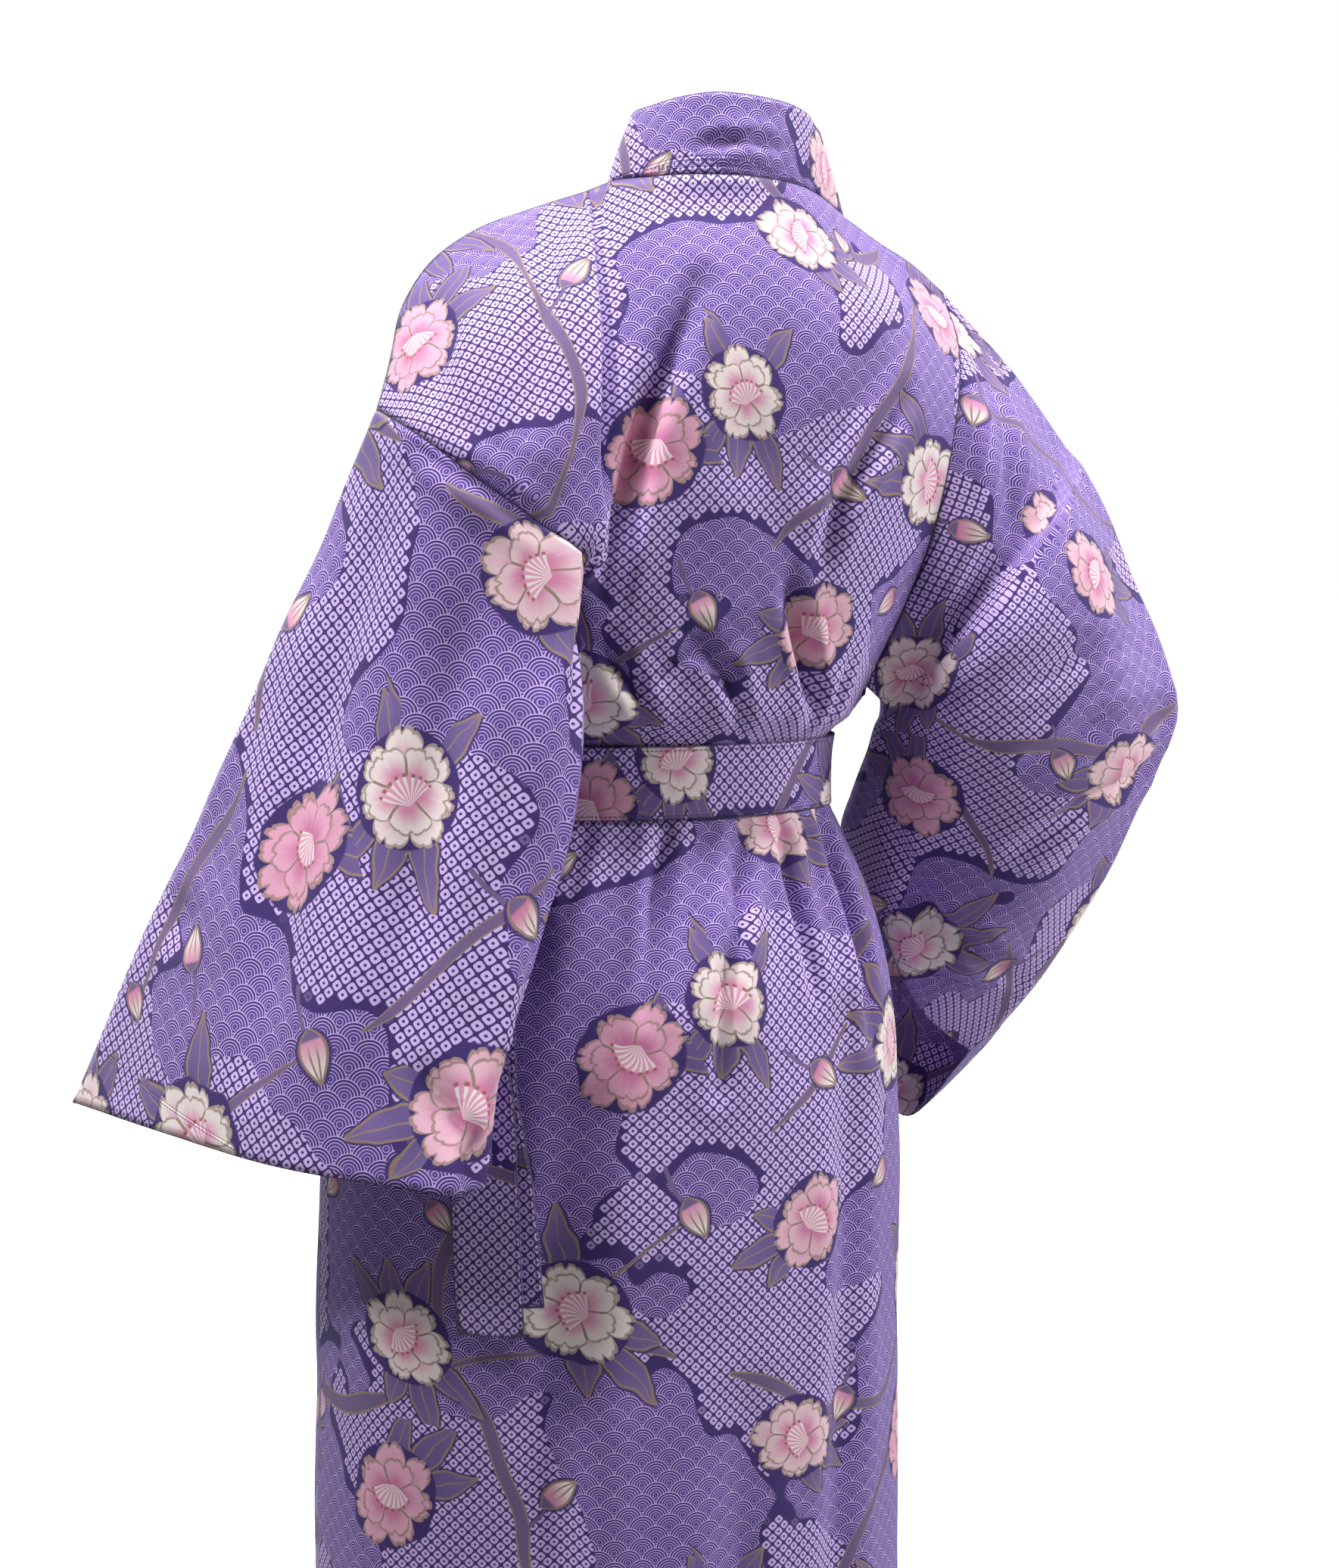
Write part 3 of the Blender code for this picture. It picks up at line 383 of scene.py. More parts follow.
class Curves:
    """Smooth curves through tables of points."""

    @staticmethod
    def read(knots: Array, values: Array, at: Array) -> Array:
        """Read a smooth curve through values at rising knots.

        Args:
            knots: rising places of the values.
            values: one value or point for each knot.
            at: places to read.

        Returns:
            The curve's values at the places in at.
        """
        knots = np.asarray(knots, float)
        values = np.asarray(values, float)
        at = np.clip(np.asarray(at, float), knots[0], knots[-1])
        slopes = np.gradient(values, knots, axis=0)
        index = np.clip(np.searchsorted(knots, at, side="right") - 1, 0, len(knots) - 2)
        step = knots[index + 1] - knots[index]
        part = (at - knots[index]) / step
        spread = np.shape(part) + (1,) * (values.ndim - 1)
        part = np.reshape(part, spread)
        step = np.reshape(step, spread)
        start = (1 + 2 * part) * (1 - part) ** 2 * values[index]
        start = start + part * (1 - part) ** 2 * step * slopes[index]
        end = part ** 2 * (3 - 2 * part) * values[index + 1]
        return start + end + part ** 2 * (part - 1) * step * slopes[index + 1]

    @staticmethod
    def gaps(points: Array, axis: int) -> Array:
        """Distance from each point to the next one along an axis."""
        return np.linalg.norm(np.diff(points, axis=axis), axis=-1)

    @staticmethod
    def running(lengths: Array, axis: int = 0) -> Array:
        """Sum of the lengths up to each place along an axis, from 0."""
        return np.insert(np.cumsum(lengths, axis=axis), 0, 0.0, axis=axis)

    @classmethod
    def shares(cls, points: Array) -> Array:
        """Share of the whole length, by straight steps, at which each point lies."""
        lengths = cls.gaps(np.asarray(points, float), 0)
        return cls.running(lengths) / lengths.sum()

    @classmethod
    def run(cls, points: Array, steps: "int | Array") -> Array:
        """Points along a smooth curve, at even steps or at shares of its length."""
        places = np.linspace(0.0, 1.0, steps + 1) if isinstance(steps, int) else steps
        return cls.read(cls.shares(points), points, places)

    @staticmethod
    def unit(vectors: Array) -> Array:
        """Vectors scaled to length one."""
        return vectors / np.maximum(np.linalg.norm(vectors, axis=-1, keepdims=True), 1e-9)

    @staticmethod
    def ease(part: Array) -> Array:
        """Soft step from 0 to 1."""
        part = np.clip(part, 0.0, 1.0)
        return part * part * (3 - 2 * part)


class Figure:
    """The worn body's surface, from the ring and fold tables."""

    @staticmethod
    def folds(angles: Array, heights: Array) -> Array:
        """How far the skirt's folds push the cloth out at each angle and height."""
        relief = np.zeros(np.broadcast(angles, heights).shape)
        for angle, swing, width, depth, top, full, fading, gone in SKIRT_FOLDS:
            fall = np.clip((top - heights) / (top - full), 0.0, 1.0)
            fall = fall * (1.0 - np.clip((fading - heights) / (fading - gone), 0.0, 1.0))
            down = np.clip((top - heights) / (top + ROBE_LENGTH), 0.0, 1.0)
            away = (angles - angle - swing * down + 180.0) % 360.0 - 180.0
            relief += depth * Curves.ease(fall) * np.exp(-(away / width) ** 2)
        return relief

    @classmethod
    def points(cls, angles: Array, heights: Array, sunk: "float | Array" = 0.0) -> Array:
        """Points of the surface at angles in degrees, counted from the wearer's left."""
        angles = np.asarray(angles, float)
        heights = np.asarray(heights, float)
        middle, width, depth, corner = (np.interp(-heights, -RINGS[:, 0], sizes) for sizes in RINGS[:, 1:].T)
        turn = np.radians(angles)
        out = cls.folds(angles, heights) - sunk
        across = np.sign(np.cos(turn)) * np.abs(np.cos(turn)) ** corner
        forward = np.sign(np.sin(turn)) * np.abs(np.sin(turn)) ** corner
        return np.stack((middle + (width + out) * across, (depth + out) * forward, heights), axis=-1)

    @staticmethod
    def seam(column: int, heights: Array) -> Array:
        """Angle of a seam or edge, a column of SEAM_ANGLES, at each height."""
        return np.interp(-np.asarray(heights, float), -SEAM_ANGLES[:, 0], SEAM_ANGLES[:, column])

    @staticmethod
    def lower_heights(start: Array, row: int) -> Array:
        """Heights of one row below the yoke, from the yoke's last row down to the hem."""
        start = np.asarray(start, float)
        if row <= WAIST_ROWS:
            return start + (BELT_TOP - start) * row / WAIST_ROWS
        levels = SKIRT_LEVELS + (-ROBE_LENGTH,)
        return np.full_like(start, levels[row - WAIST_ROWS - 1])


class Cut:
    """Control grids of the sewn pieces, on the construction model's sections."""

    def __init__(self) -> None:
        """Work out every control grid once, each from those that it is sewn to."""
        self.rows = len(YOKE_ROWS)
        self.last = self.rows - 1
        self.lower = WAIST_ROWS + len(SKIRT_LEVELS) + 1
        self.back = self._back()
        left_top = self.back[0, :NECK_LEFT_COLUMN + 1]
        right_top = self.back[0, :NECK_RIGHT_COLUMN - 1:-1]
        self.left_front = self._front(left_top, self.back[self.last, 0], LEFT_FRONT_GUIDES,
                                      LEFT_CROSSING, (1, 3), LEFT_ARMPIT)
        self.right_front = self._front(right_top, self.back[self.last, -1], RIGHT_FRONT_GUIDES,
                                       RIGHT_CROSSING, (2, 4), RIGHT_ARMPIT)
        self.left_front[self.last:, 0] = self.back[self.last:, 0]
        self.right_front[self.last:, 0] = self.back[self.last:, -1]
        self.left_sleeve = self._sleeve(self.back[:, 0], self.left_front[:, 0], LEFT_SLEEVE,
                                        self._left_breaks(), LEFT_SLEEVE_STEPS)
        self.right_sleeve = self._sleeve(self.back[:, -1], self.right_front[:, 0], RIGHT_SLEEVE,
                                         ((0, 3, self.last), (3, 6, self.last)), RIGHT_SLEEVE_STEPS)
        self.collar_end = 0
        self.collar = self._collar()

    def _left_breaks(self) -> tuple:
        """How the left sleeve's section points share out its columns."""
        blunt = (self.last - EDGE_ROW) // 2
        return (0, 3, EDGE_ROW), (3, 4, blunt), (4, 5, blunt), (5, 7, self.last)

    @staticmethod
    def _settled(top_shares: Array, level: float) -> Array:
        """Shares of a row's length: the top row's spacing, which evens out further down."""
        ease = Curves.ease(level / EVEN_LEVEL)
        return top_shares * (1 - ease) + np.linspace(0.0, 1.0, len(top_shares)) * ease

    def _back(self) -> Array:
        """Back: rows from shoulder to hem, columns from the wearer's left to right."""
        levels = np.array(YOKE_ROWS)
        armhole, middle, edge, depth = (Curves.read(FLAP_LEVELS, table, levels) for table in FLAP_TABLES)
        first_right = FLAP_COLUMNS + STEP_COLUMNS
        top_row = np.concatenate((
            Curves.run(LEFT_SHOULDER, FLAP_COLUMNS),
            Curves.run((LEFT_SHOULDER[-1], NECK_LINE[0]), NECK_LEFT_COLUMN - FLAP_COLUMNS)[1:],
            Curves.run(NECK_LINE, NECK_RIGHT_COLUMN - NECK_LEFT_COLUMN)[1:],
            Curves.run(RIGHT_SHOULDER, BACK_COLUMNS - NECK_RIGHT_COLUMN)[1:],
        ))
        shares = np.linspace(0.0, 1.0, BACK_COLUMNS + 1)
        yoke_angles = YOKE_ANGLES[0] + (YOKE_ANGLES[1] - YOKE_ANGLES[0]) * shares
        last_heights = LEFT_ARMPIT + (RIGHT_ARMPIT - LEFT_ARMPIT) * shares ** BACK_DROP
        last_row = Figure.points(yoke_angles, last_heights)
        guides = self._guides(top_row, last_row)
        right_shares = Curves.shares(top_row[first_right:])
        rows = []
        for row, level in enumerate(levels):
            flap = Curves.run((armhole[row], middle[row], edge[row]), FLAP_COLUMNS)
            across = Curves.unit(edge[row] - middle[row])
            down = Curves.unit(edge[min(row + 1, len(levels) - 1)] - edge[max(row - 1, 0)])
            outward = Curves.unit(np.cross(across, down))
            outward = outward * np.sign(outward[1])
            foot = edge[row] + across * FLAP_OVERHANG - outward * depth[row]
            blend = [foot] + list(Curves.read((0.0,) + BACK_LEVELS + (4.0,), guides, level))
            rest = Curves.run(blend, self._settled(right_shares, level))
            rows.append(np.concatenate((flap, ((edge[row] + foot) / 2)[None], rest)))
        rows[0] = top_row
        rows[-1] = last_row
        lower = []
        for row in range(1, self.lower + 1):
            heights = Figure.lower_heights(last_heights, row)
            left, right = Figure.seam(1, heights), Figure.seam(2, heights)
            ease = min(row / WAIST_ROWS, 1.0)
            angles = yoke_angles * (1 - ease) + (left + (right - left) * shares) * ease
            lower.append(Figure.points(angles, heights))
        return self._pressed(self._relaxed(np.concatenate((np.array(rows), lower))))

    @staticmethod
    def _guides(top_row: Array, last_row: Array) -> Array:
        """The back's four guide columns at the levels of the yoke, top and bottom included."""
        first = [top_row[column] for column in (NECK_LEFT_COLUMN + 1,) + GUIDE_TOPS + (BACK_COLUMNS,)]
        last = [last_row[column] for column in GUIDE_ENDS + (BACK_COLUMNS,)]
        return np.array([first] + [list(guides) for guides in BACK_GUIDES] + [last]).reshape(5, 4, 3)

    def _relaxed(self, grid: Array) -> Array:
        """The grid with its rows about the yoke's last one eased into each other, right of the flap."""
        grid = grid.copy()
        free = slice(FLAP_COLUMNS + STEP_COLUMNS + 1, -1)
        rows = slice(self.last + RELAXED_ROWS[0], self.last + RELAXED_ROWS[1])
        before = slice(rows.start - 1, rows.stop - 1)
        for _ in range(RELAXED_PASSES):
            between = (grid[:-2] + grid[2:]) / 2
            grid[rows, free] = (grid[rows, free] + between[before, free]) / 2
        return grid

    @staticmethod
    def _pressed(points: Array) -> Array:
        """The upper back with its soft troughs pressed in."""
        points = points.copy()
        for x_from, z_from, x_to, z_to, width, depth in BACK_TROUGHS:
            start = np.array((x_from, z_from))
            along = np.array((x_to, z_to)) - start
            place = points[..., (0, 2)] - start
            part = np.clip(place @ along / (along @ along), 0.0, 1.0)
            away = np.linalg.norm(place - part[..., None] * along, axis=-1)
            taper = np.sin(np.pi * np.clip(part * 0.9 + 0.05, 0.0, 1.0)) ** 0.5
            points[..., 1] -= depth * taper * np.exp(-(away / width) ** 2) * (points[..., 1] > 0.03)
        return points

    @staticmethod
    def _sunk(shares: Array, edge_column: int) -> Array:
        """How far a front lies under the other one, from its side seam to its edge."""
        if edge_column == 3:
            return np.zeros_like(shares)
        return UNDERLAP * Curves.ease(shares / UNDERLAP_EASE)

    def _front(self, top_row: Array, armhole_end: Array, guides: tuple, crossing: float,
               seams: tuple[int, int], armpit: float) -> Array:
        """Front: rows from shoulder to hem, columns from the armhole to the collar seam."""
        count = len(top_row) - 1
        side, edge = seams
        first_angle, last_angle = Figure.seam(side, armpit), Figure.seam(edge, crossing)
        shares = np.linspace(0.0, 1.0, count + 1)
        sunk = self._sunk(shares, edge)
        last_heights = armpit + (crossing - armpit) * shares ** FRONT_DROP
        last_row = Figure.points(first_angle + (last_angle - first_angle) * shares, last_heights, sunk)
        last_row[0] = armhole_end
        top_shares = Curves.shares(top_row)
        lines = [[top_row[column]] + [row[place] for row in guides] + [last_row[column]]
                 for place, column in enumerate((0, count // 2, count))]
        rows = []
        for level in YOKE_ROWS:
            points = [Curves.read(FRONT_LEVELS, line, level) for line in lines]
            rows.append(Curves.run(points, self._settled(top_shares, level)))
        rows[0] = np.array(top_row)
        rows[-1] = last_row
        for row in range(1, self.lower + 1):
            heights = Figure.lower_heights(last_heights, row)
            start, end = Figure.seam(side, heights), Figure.seam(edge, heights)
            rows.append(Figure.points(start + (end - start) * shares, heights, sunk))
        return np.array(rows)

    def _sleeve(self, back_edge: Array, front_edge: Array, sections: tuple, breaks: tuple,
                steps: int) -> Array:
        """Sleeve: rows from its armhole loop through its sections to the cuff, columns round it."""
        loops = [np.concatenate((back_edge[:self.last + 1], front_edge[self.last - 1:0:-1]))]
        for section in sections:
            closed = list(section) + [section[0]]
            loops.append(np.concatenate([Curves.run(closed[a:b + 1], count)[:-1] for a, b, count in breaks]))
        loops = np.array(loops)
        knots = Curves.shares(loops.mean(axis=1))
        order = np.arange(len(sections) * steps + 1) / steps
        return Curves.read(knots, loops, np.interp(order, np.arange(len(knots)), knots))

    def _collar(self) -> Array:
        """Collar band: rows along its length from the left end to the right end."""
        reach = [row for row in range(self.rows, len(self.left_front))
                 if self.left_front[row, -1, 2] >= COLLAR_END - 0.011]
        self.collar_end = reach[-1]
        arms = []
        sides = (
            (self.left_front, COLLAR_EDGE_LEFT, COLLAR_EDGE_NECK[0], 3, -1.0),
            (self.right_front, COLLAR_EDGE_RIGHT, COLLAR_EDGE_NECK[-1], 4, 1.0),
        )
        for front, edge, neck, column, turn in sides:
            seam = front[:self.collar_end + 1, -1]
            heights = seam[self.last:, 2]
            spread = np.degrees(COLLAR_WIDTH / np.interp(-heights, -RINGS[:, 0], RINGS[:, 2]))
            sunk = UNDERLAP if column == 4 else 0.0
            lower = Figure.points(Figure.seam(column, heights) + turn * spread, heights, sunk)
            upper = Curves.read(FRONT_LEVELS, (neck,) + edge + (tuple(lower[0]),), YOKE_ROWS)
            arms.append((seam, np.concatenate((upper[:-1], lower))))
        neck_seam = self.back[0, NECK_LEFT_COLUMN:NECK_RIGHT_COLUMN + 1]
        neck_free = Curves.run(COLLAR_EDGE_NECK, len(neck_seam) - 1)
        seams = np.concatenate((arms[0][0][:0:-1], neck_seam, arms[1][0][1:]))
        free = np.concatenate((arms[0][1][:0:-1], neck_free, arms[1][1][1:]))
        shares = np.linspace(0.0, 1.0, COLLAR_COLUMNS + 1)
        grid = seams[:, None] * (1 - shares)[None, :, None] + free[:, None] * shares[None, :, None]
        bow = COLLAR_BOW * shares * (1 - shares)
        return grid + Weave.normals(grid, False) * bow[None, :, None]

    @staticmethod
    def belt() -> Array:
        """Belt loop: rows down its width, columns round it."""
        angles = np.linspace(0.0, 360.0, BELT_COLUMNS, endpoint=False)
        heights = np.linspace(BELT_TOP, BELT_TOP - BELT_WIDTH, 3)
        out = BELT_CLEARANCE + BELT_WALL
        return np.array([Figure.points(angles, np.full(BELT_COLUMNS, height), -out) for height in heights])

    @staticmethod
    def tail(route: tuple) -> Array:
        """One hanging end of the belt, a flat band that follows its route over the hip."""
        angles, heights, off = Curves.run(route, TAIL_ROWS).T
        spine = Figure.points(angles, heights, -off)
        outward = Curves.unit(Figure.points(angles, heights, -2 * off) - spine)
        across = Curves.unit(np.cross(outward, Curves.unit(np.gradient(spine, axis=0))))
        shares = np.linspace(-0.5, 0.5, 3)
        return spine[:, None] + across[:, None] * (shares * BELT_WIDTH * TAIL_TAPER)[None, :, None]


@dataclass(frozen=True)
class Crease:
    """One soft trough with a low ridge each side, laid along a route on the cloth."""

    route: tuple
    width: float
    depth: float

    def relief(self, points: Array) -> Array:
        """How far the crease moves each point along its normal."""
        route = np.asarray(self.route, float)
        best = np.full(points.shape[:-1], 1e9)
        place = np.zeros(points.shape[:-1])
        lengths = Curves.shares(route)
        for index in range(len(route) - 1):
            along = route[index + 1] - route[index]
            part = np.clip((points - route[index]) @ along / (along @ along), 0.0, 1.0)
            away = np.linalg.norm(points - route[index] - part[..., None] * along, axis=-1)
            nearer = away < best
            best = np.where(nearer, away, best)
            share = lengths[index] + part * (lengths[index + 1] - lengths[index])
            place = np.where(nearer, share, place)
        taper = np.sin(np.pi * np.clip(0.06 + 0.88 * place, 0.0, 1.0)) ** 0.7
        trough = np.exp(-(best / self.width) ** 2)
        ridge = np.exp(-((best - RIDGE_AWAY * self.width) / self.width) ** 2)
        return -CREASE_GAIN * self.depth * taper * (trough - RIDGE_SHARE * ridge)


# Creases of the worn cloth: width, depth and route
CREASES = tuple(Crease(tuple(route), width, depth) for width, depth, *route in (
    (0.0085, 0.0050, (0.034, 0.105, -0.074), (0.054, 0.111, -0.116), (0.069, 0.114, -0.151),
     (0.080, 0.114, -0.185), (0.091, 0.117, -0.232), (0.099, 0.113, -0.275)),
    (0.0080, 0.0042, (-0.115, 0.100, -0.142), (-0.083, 0.115, -0.178), (-0.060, 0.118, -0.212),
     (-0.047, 0.116, -0.252)),
    (0.0070, 0.0042, (-0.023, 0.117, -0.266), (-0.038, 0.108, -0.311), (-0.052, 0.096, -0.355)),
    (0.0060, 0.0028, (0.052, 0.120, -0.294), (0.020, 0.118, -0.324), (0.005, 0.111, -0.360)),
    (0.0060, 0.0028, (0.100, 0.111, -0.304), (0.081, 0.114, -0.333), (0.066, 0.101, -0.366)),
    (0.0060, 0.0020, (0.000, 0.119, -0.295), (0.042, 0.120, -0.304), (0.076, 0.115, -0.328)),
    (0.0055, 0.0026, (-0.080, 0.090, -0.290), (-0.072, 0.090, -0.330), (-0.066, 0.085, -0.365)),
    (0.0070, 0.0046, (0.001, 0.104, -0.424), (0.013, 0.123, -0.467), (0.028, 0.143, -0.517),
     (0.039, 0.151, -0.590)),
    (0.0062, 0.0040, (-0.031, 0.094, -0.424), (-0.030, 0.103, -0.462), (-0.041, 0.118, -0.540)),
    (0.0072, 0.0052, (-0.070, 0.063, -0.425), (-0.072, 0.083, -0.461), (-0.084, 0.095, -0.507),
     (-0.089, 0.101, -0.580)),
    (0.0062, 0.0036, (0.055, 0.099, -0.423), (0.068, 0.119, -0.465), (0.084, 0.138, -0.540)),
    (0.0062, 0.0036, (0.100, 0.080, -0.424), (0.120, 0.100, -0.470), (0.142, 0.115, -0.560)),
    (0.0150, 0.0036, (-0.066, 0.115, -0.559), (-0.069, 0.121, -0.635), (-0.065, 0.128, -0.764),
     (-0.058, 0.133, -0.893), (-0.055, 0.136, -1.050)),
    (0.0160, 0.0034, (0.129, 0.139, -0.600), (0.138, 0.142, -0.710), (0.143, 0.144, -0.834),
     (0.140, 0.146, -1.020)),
    (0.0180, 0.0030, (0.020, 0.150, -0.800), (0.030, 0.160, -0.980), (0.026, 0.166, -1.180)),
    (0.0070, 0.0040, (0.020, -0.100, -0.424), (0.030, -0.125, -0.480), (0.050, -0.148, -0.600)),
    (0.0070, 0.0042, (0.075, -0.092, -0.424), (0.095, -0.118, -0.480), (0.120, -0.135, -0.620)),
    (0.0070, 0.0036, (0.125, -0.070, -0.424), (0.150, -0.085, -0.480), (0.190, -0.100, -0.640)),
    (0.0070, 0.0036, (-0.050, -0.080, -0.424), (-0.060, -0.100, -0.480), (-0.080, -0.120, -0.600)),
    (0.0065, 0.0032, (0.060, -0.112, -0.270), (0.062, -0.110, -0.310), (0.058, -0.104, -0.365)),
    (0.0065, 0.0030, (0.110, -0.095, -0.290), (0.100, -0.092, -0.330), (0.092, -0.088, -0.365)),
    (0.0170, 0.0034, (0.160, -0.110, -0.700), (0.175, -0.115, -0.900), (0.180, -0.120, -1.150)),
    (0.0170, 0.0030, (0.060, -0.155, -0.640), (0.055, -0.160, -0.850), (0.060, -0.166, -1.100)),
    (0.0060, 0.0016, (0.142, 0.141, -0.325), (0.155, 0.151, -0.394), (0.165, 0.159, -0.463),
     (0.177, 0.169, -0.531)),
    (0.0080, 0.0034, (0.229, 0.154, -0.563), (0.215, 0.170, -0.598), (0.208, 0.180, -0.625)),
    (0.0190, 0.0034, (0.227, 0.065, -0.204), (0.258, 0.050, -0.304), (0.292, 0.050, -0.424),
     (0.320, 0.077, -0.563)),
    (0.0170, 0.0036, (0.181, 0.115, -0.242), (0.206, 0.119, -0.349), (0.233, 0.131, -0.463),
     (0.255, 0.144, -0.577)),
    (0.0070, 0.0022, (0.212, 0.082, -0.181), (0.180, 0.110, -0.204), (0.153, 0.120, -0.228)),
    (0.0090, 0.0022, (0.183, 0.048, -0.097), (0.190, 0.062, -0.125), (0.200, 0.074, -0.147)),
    (0.0100, 0.0024, (0.108, 0.037, -0.035), (0.134, 0.088, -0.099), (0.151, 0.114, -0.167)),
    (0.0080, 0.0028, (-0.202, 0.037, -0.115), (-0.203, 0.078, -0.179), (-0.201, 0.083, -0.232)),
    (0.0075, 0.0040, (-0.355, 0.046, -0.363), (-0.266, 0.094, -0.368), (-0.212, 0.096, -0.388)),
    (0.0085, 0.0040, (-0.348, 0.041, -0.402), (-0.269, 0.080, -0.423), (-0.220, 0.070, -0.455)),
    (0.0070, 0.0026, (-0.316, 0.063, -0.312), (-0.252, 0.099, -0.315), (-0.201, 0.104, -0.334)),
    (0.0075, 0.0034, (-0.157, 0.019, -0.491), (-0.200, 0.028, -0.525), (-0.260, -0.004, -0.562)),
    (0.0075, 0.0034, (-0.142, 0.025, -0.440), (-0.171, 0.027, -0.501), (-0.200, 0.004, -0.563)),
    (0.0080, 0.0036, (-0.350, 0.020, -0.370), (-0.290, -0.050, -0.380), (-0.210, -0.074, -0.384)),
    (0.0080, 0.0034, (-0.330, 0.000, -0.430), (-0.270, -0.070, -0.450), (-0.210, -0.090, -0.440)),
    (0.0140, 0.0026, (0.355, -0.040, -0.490), (0.300, 0.000, -0.500), (0.245, 0.070, -0.510)),
    (0.0050, 0.0022, (0.022, 0.074, 0.016), (-0.008, 0.083, 0.021), (-0.040, 0.072, 0.019)),
))


@dataclass
class Weave:
    """A fine grid of cloth points with its flat-cut coordinates, refined from a control grid."""

    control: Array
    facing: Facing
    row_knots: Array
    row_steps: list
    column_knots: Array
    column_steps: list
    ring_cut: Optional[int] = None
    middle: float = 0.5
    points: Array = field(default=None, repr=False)
    lengths: Array = field(default=None, repr=False)

    def __post_init__(self) -> None:
        """Refine the control grid and measure the cloth."""
        fine = self._refined(self.row_knots, self.control, self.row_steps)
        turned = np.swapaxes(fine, 0, 1)
        if self.ring_cut is None:
            turned = self._refined(self.column_knots, turned, self.column_steps)
        else:
            turned = self._round(turned)
        self.points = np.swapaxes(turned, 0, 1)
        self.lengths = self._lie_flat()

    @staticmethod
    def _places(knots: Array, steps: list) -> Array:
        """Places between knots, each stretch split into its own number of steps."""
        places = [np.linspace(a, b, count, endpoint=False) for a, b, count in zip(knots, knots[1:], steps)]
        return np.concatenate(places + [[knots[-1]]])

    @classmethod
    def _refined(cls, knots: Array, values: Array, steps: list) -> Array:
        """Values at the places that the steps set between the knots."""
        return Curves.read(knots, values, cls._places(knots, steps))

    def _round(self, turned: Array) -> Array:
        """Refine a closed ring of columns and open it at its cut."""
        count = len(turned)
        order = np.arange(self.ring_cut - 3, self.ring_cut + count + 4) % count
        spans = np.diff(np.append(self.column_knots, self.column_knots[-1] + self.column_steps[-1][1]))
        knots = Curves.running(spans[order[:-1]])
        steps = [self.column_steps[index][0] for index in order[3:-4]]
        self.opened = (order[3:-3], knots[3:-3], steps)
        return Curves.read(knots, turned[order], self._places(knots[3:-3], steps))

    def _lie_flat(self) -> Array:
        """Flat-cut coordinates of the fine grid, from the control grid laid out flat."""
        points, knots, steps = self.control, self.column_knots, self.column_steps
        if self.ring_cut is not None:
            order, knots, steps = self.opened
            points = points[:, order]
        flat = self._refined(self.row_knots, self._relax(points), self.row_steps)
        return np.swapaxes(self._refined(knots, np.swapaxes(flat, 0, 1), steps), 0, 1)

    def _relax(self, points: Array) -> Array:
        """Lay a coarse grid flat from its middle column and its last row, then ease the stretch out."""
        across, down = self._travelled(points)
        centre = int(round(self.middle * (points.shape[1] - 1)))
        flat = np.stack((across - across[:, centre:centre + 1], down[-1:] - down), axis=-1)
        rows, columns = flat.shape[:2]
        for _ in range(FLAT_PASSES):
            for lower, side in ((0, 1), (1, 0), (1, 1), (1, -1)):
                here = (slice(0, rows - lower), slice(max(0, -side), columns - max(0, side)))
                there = (slice(lower, rows), slice(max(0, side), columns - max(0, -side)))
                gap = flat[there] - flat[here]
                size = np.linalg.norm(gap, axis=2, keepdims=True)
                wanted = np.linalg.norm(points[there] - points[here], axis=2, keepdims=True)
                push = gap * (FLAT_PULL * (size - wanted) / np.maximum(size, 1e-6))
                flat[here] += push
                flat[there] -= push
        return flat - flat[-1, centre]

    @staticmethod
    def _travelled(points: Array) -> "tuple[Array, Array]":
        """Length of cloth from the first column, and from the first row, to each point of a grid."""
        return Curves.running(Curves.gaps(points, 1), 1), Curves.running(Curves.gaps(points, 0))

    def edge_distance(self) -> Array:
        """Distance of every point from the nearest edge of the piece."""
        across, down = self._travelled(self.points)
        return np.minimum(np.minimum(across, across[:, -1:] - across), np.minimum(down, down[-1:] - down))

    @staticmethod
    def normals(grid: Array, ring: bool) -> Array:
        """Unit normals of a grid of points."""
        if ring:
            across = np.roll(grid, -1, axis=1) - np.roll(grid, 1, axis=1)
        else:
            across = np.gradient(grid, axis=1)
        return Curves.unit(np.cross(np.gradient(grid, axis=0), across))

    def outward(self) -> Array:
        """Normals of the fine grid on the worn outside."""
        if self.ring_cut is None:
            return self.facing.value * self.normals(self.points, False)
        closed = self.normals(self.points[:, :-1], True)
        return self.facing.value * np.concatenate((closed, closed[:, :1]), axis=1)

    def crease(self, ripple: float) -> None:
        """Press the creases in and give the cloth its small unevenness."""
        x, y, z = np.moveaxis(self.points, -1, 0)
        uneven = np.sin(23.0 * x + 17.0 * z + 2.1 * np.sin(31.0 * z)) + np.sin(41.0 * z - 19.0 * y + 1.3)
        uneven = uneven + 0.8 * np.sin(57.0 * x - 33.0 * z + 1.7 * np.sin(26.0 * x + 12.0 * y))
        move = ripple * uneven / 2.8
        for crease in CREASES:
            move = move + crease.relief(self.points)
        self.points = self.points + self.outward() * move[..., None]


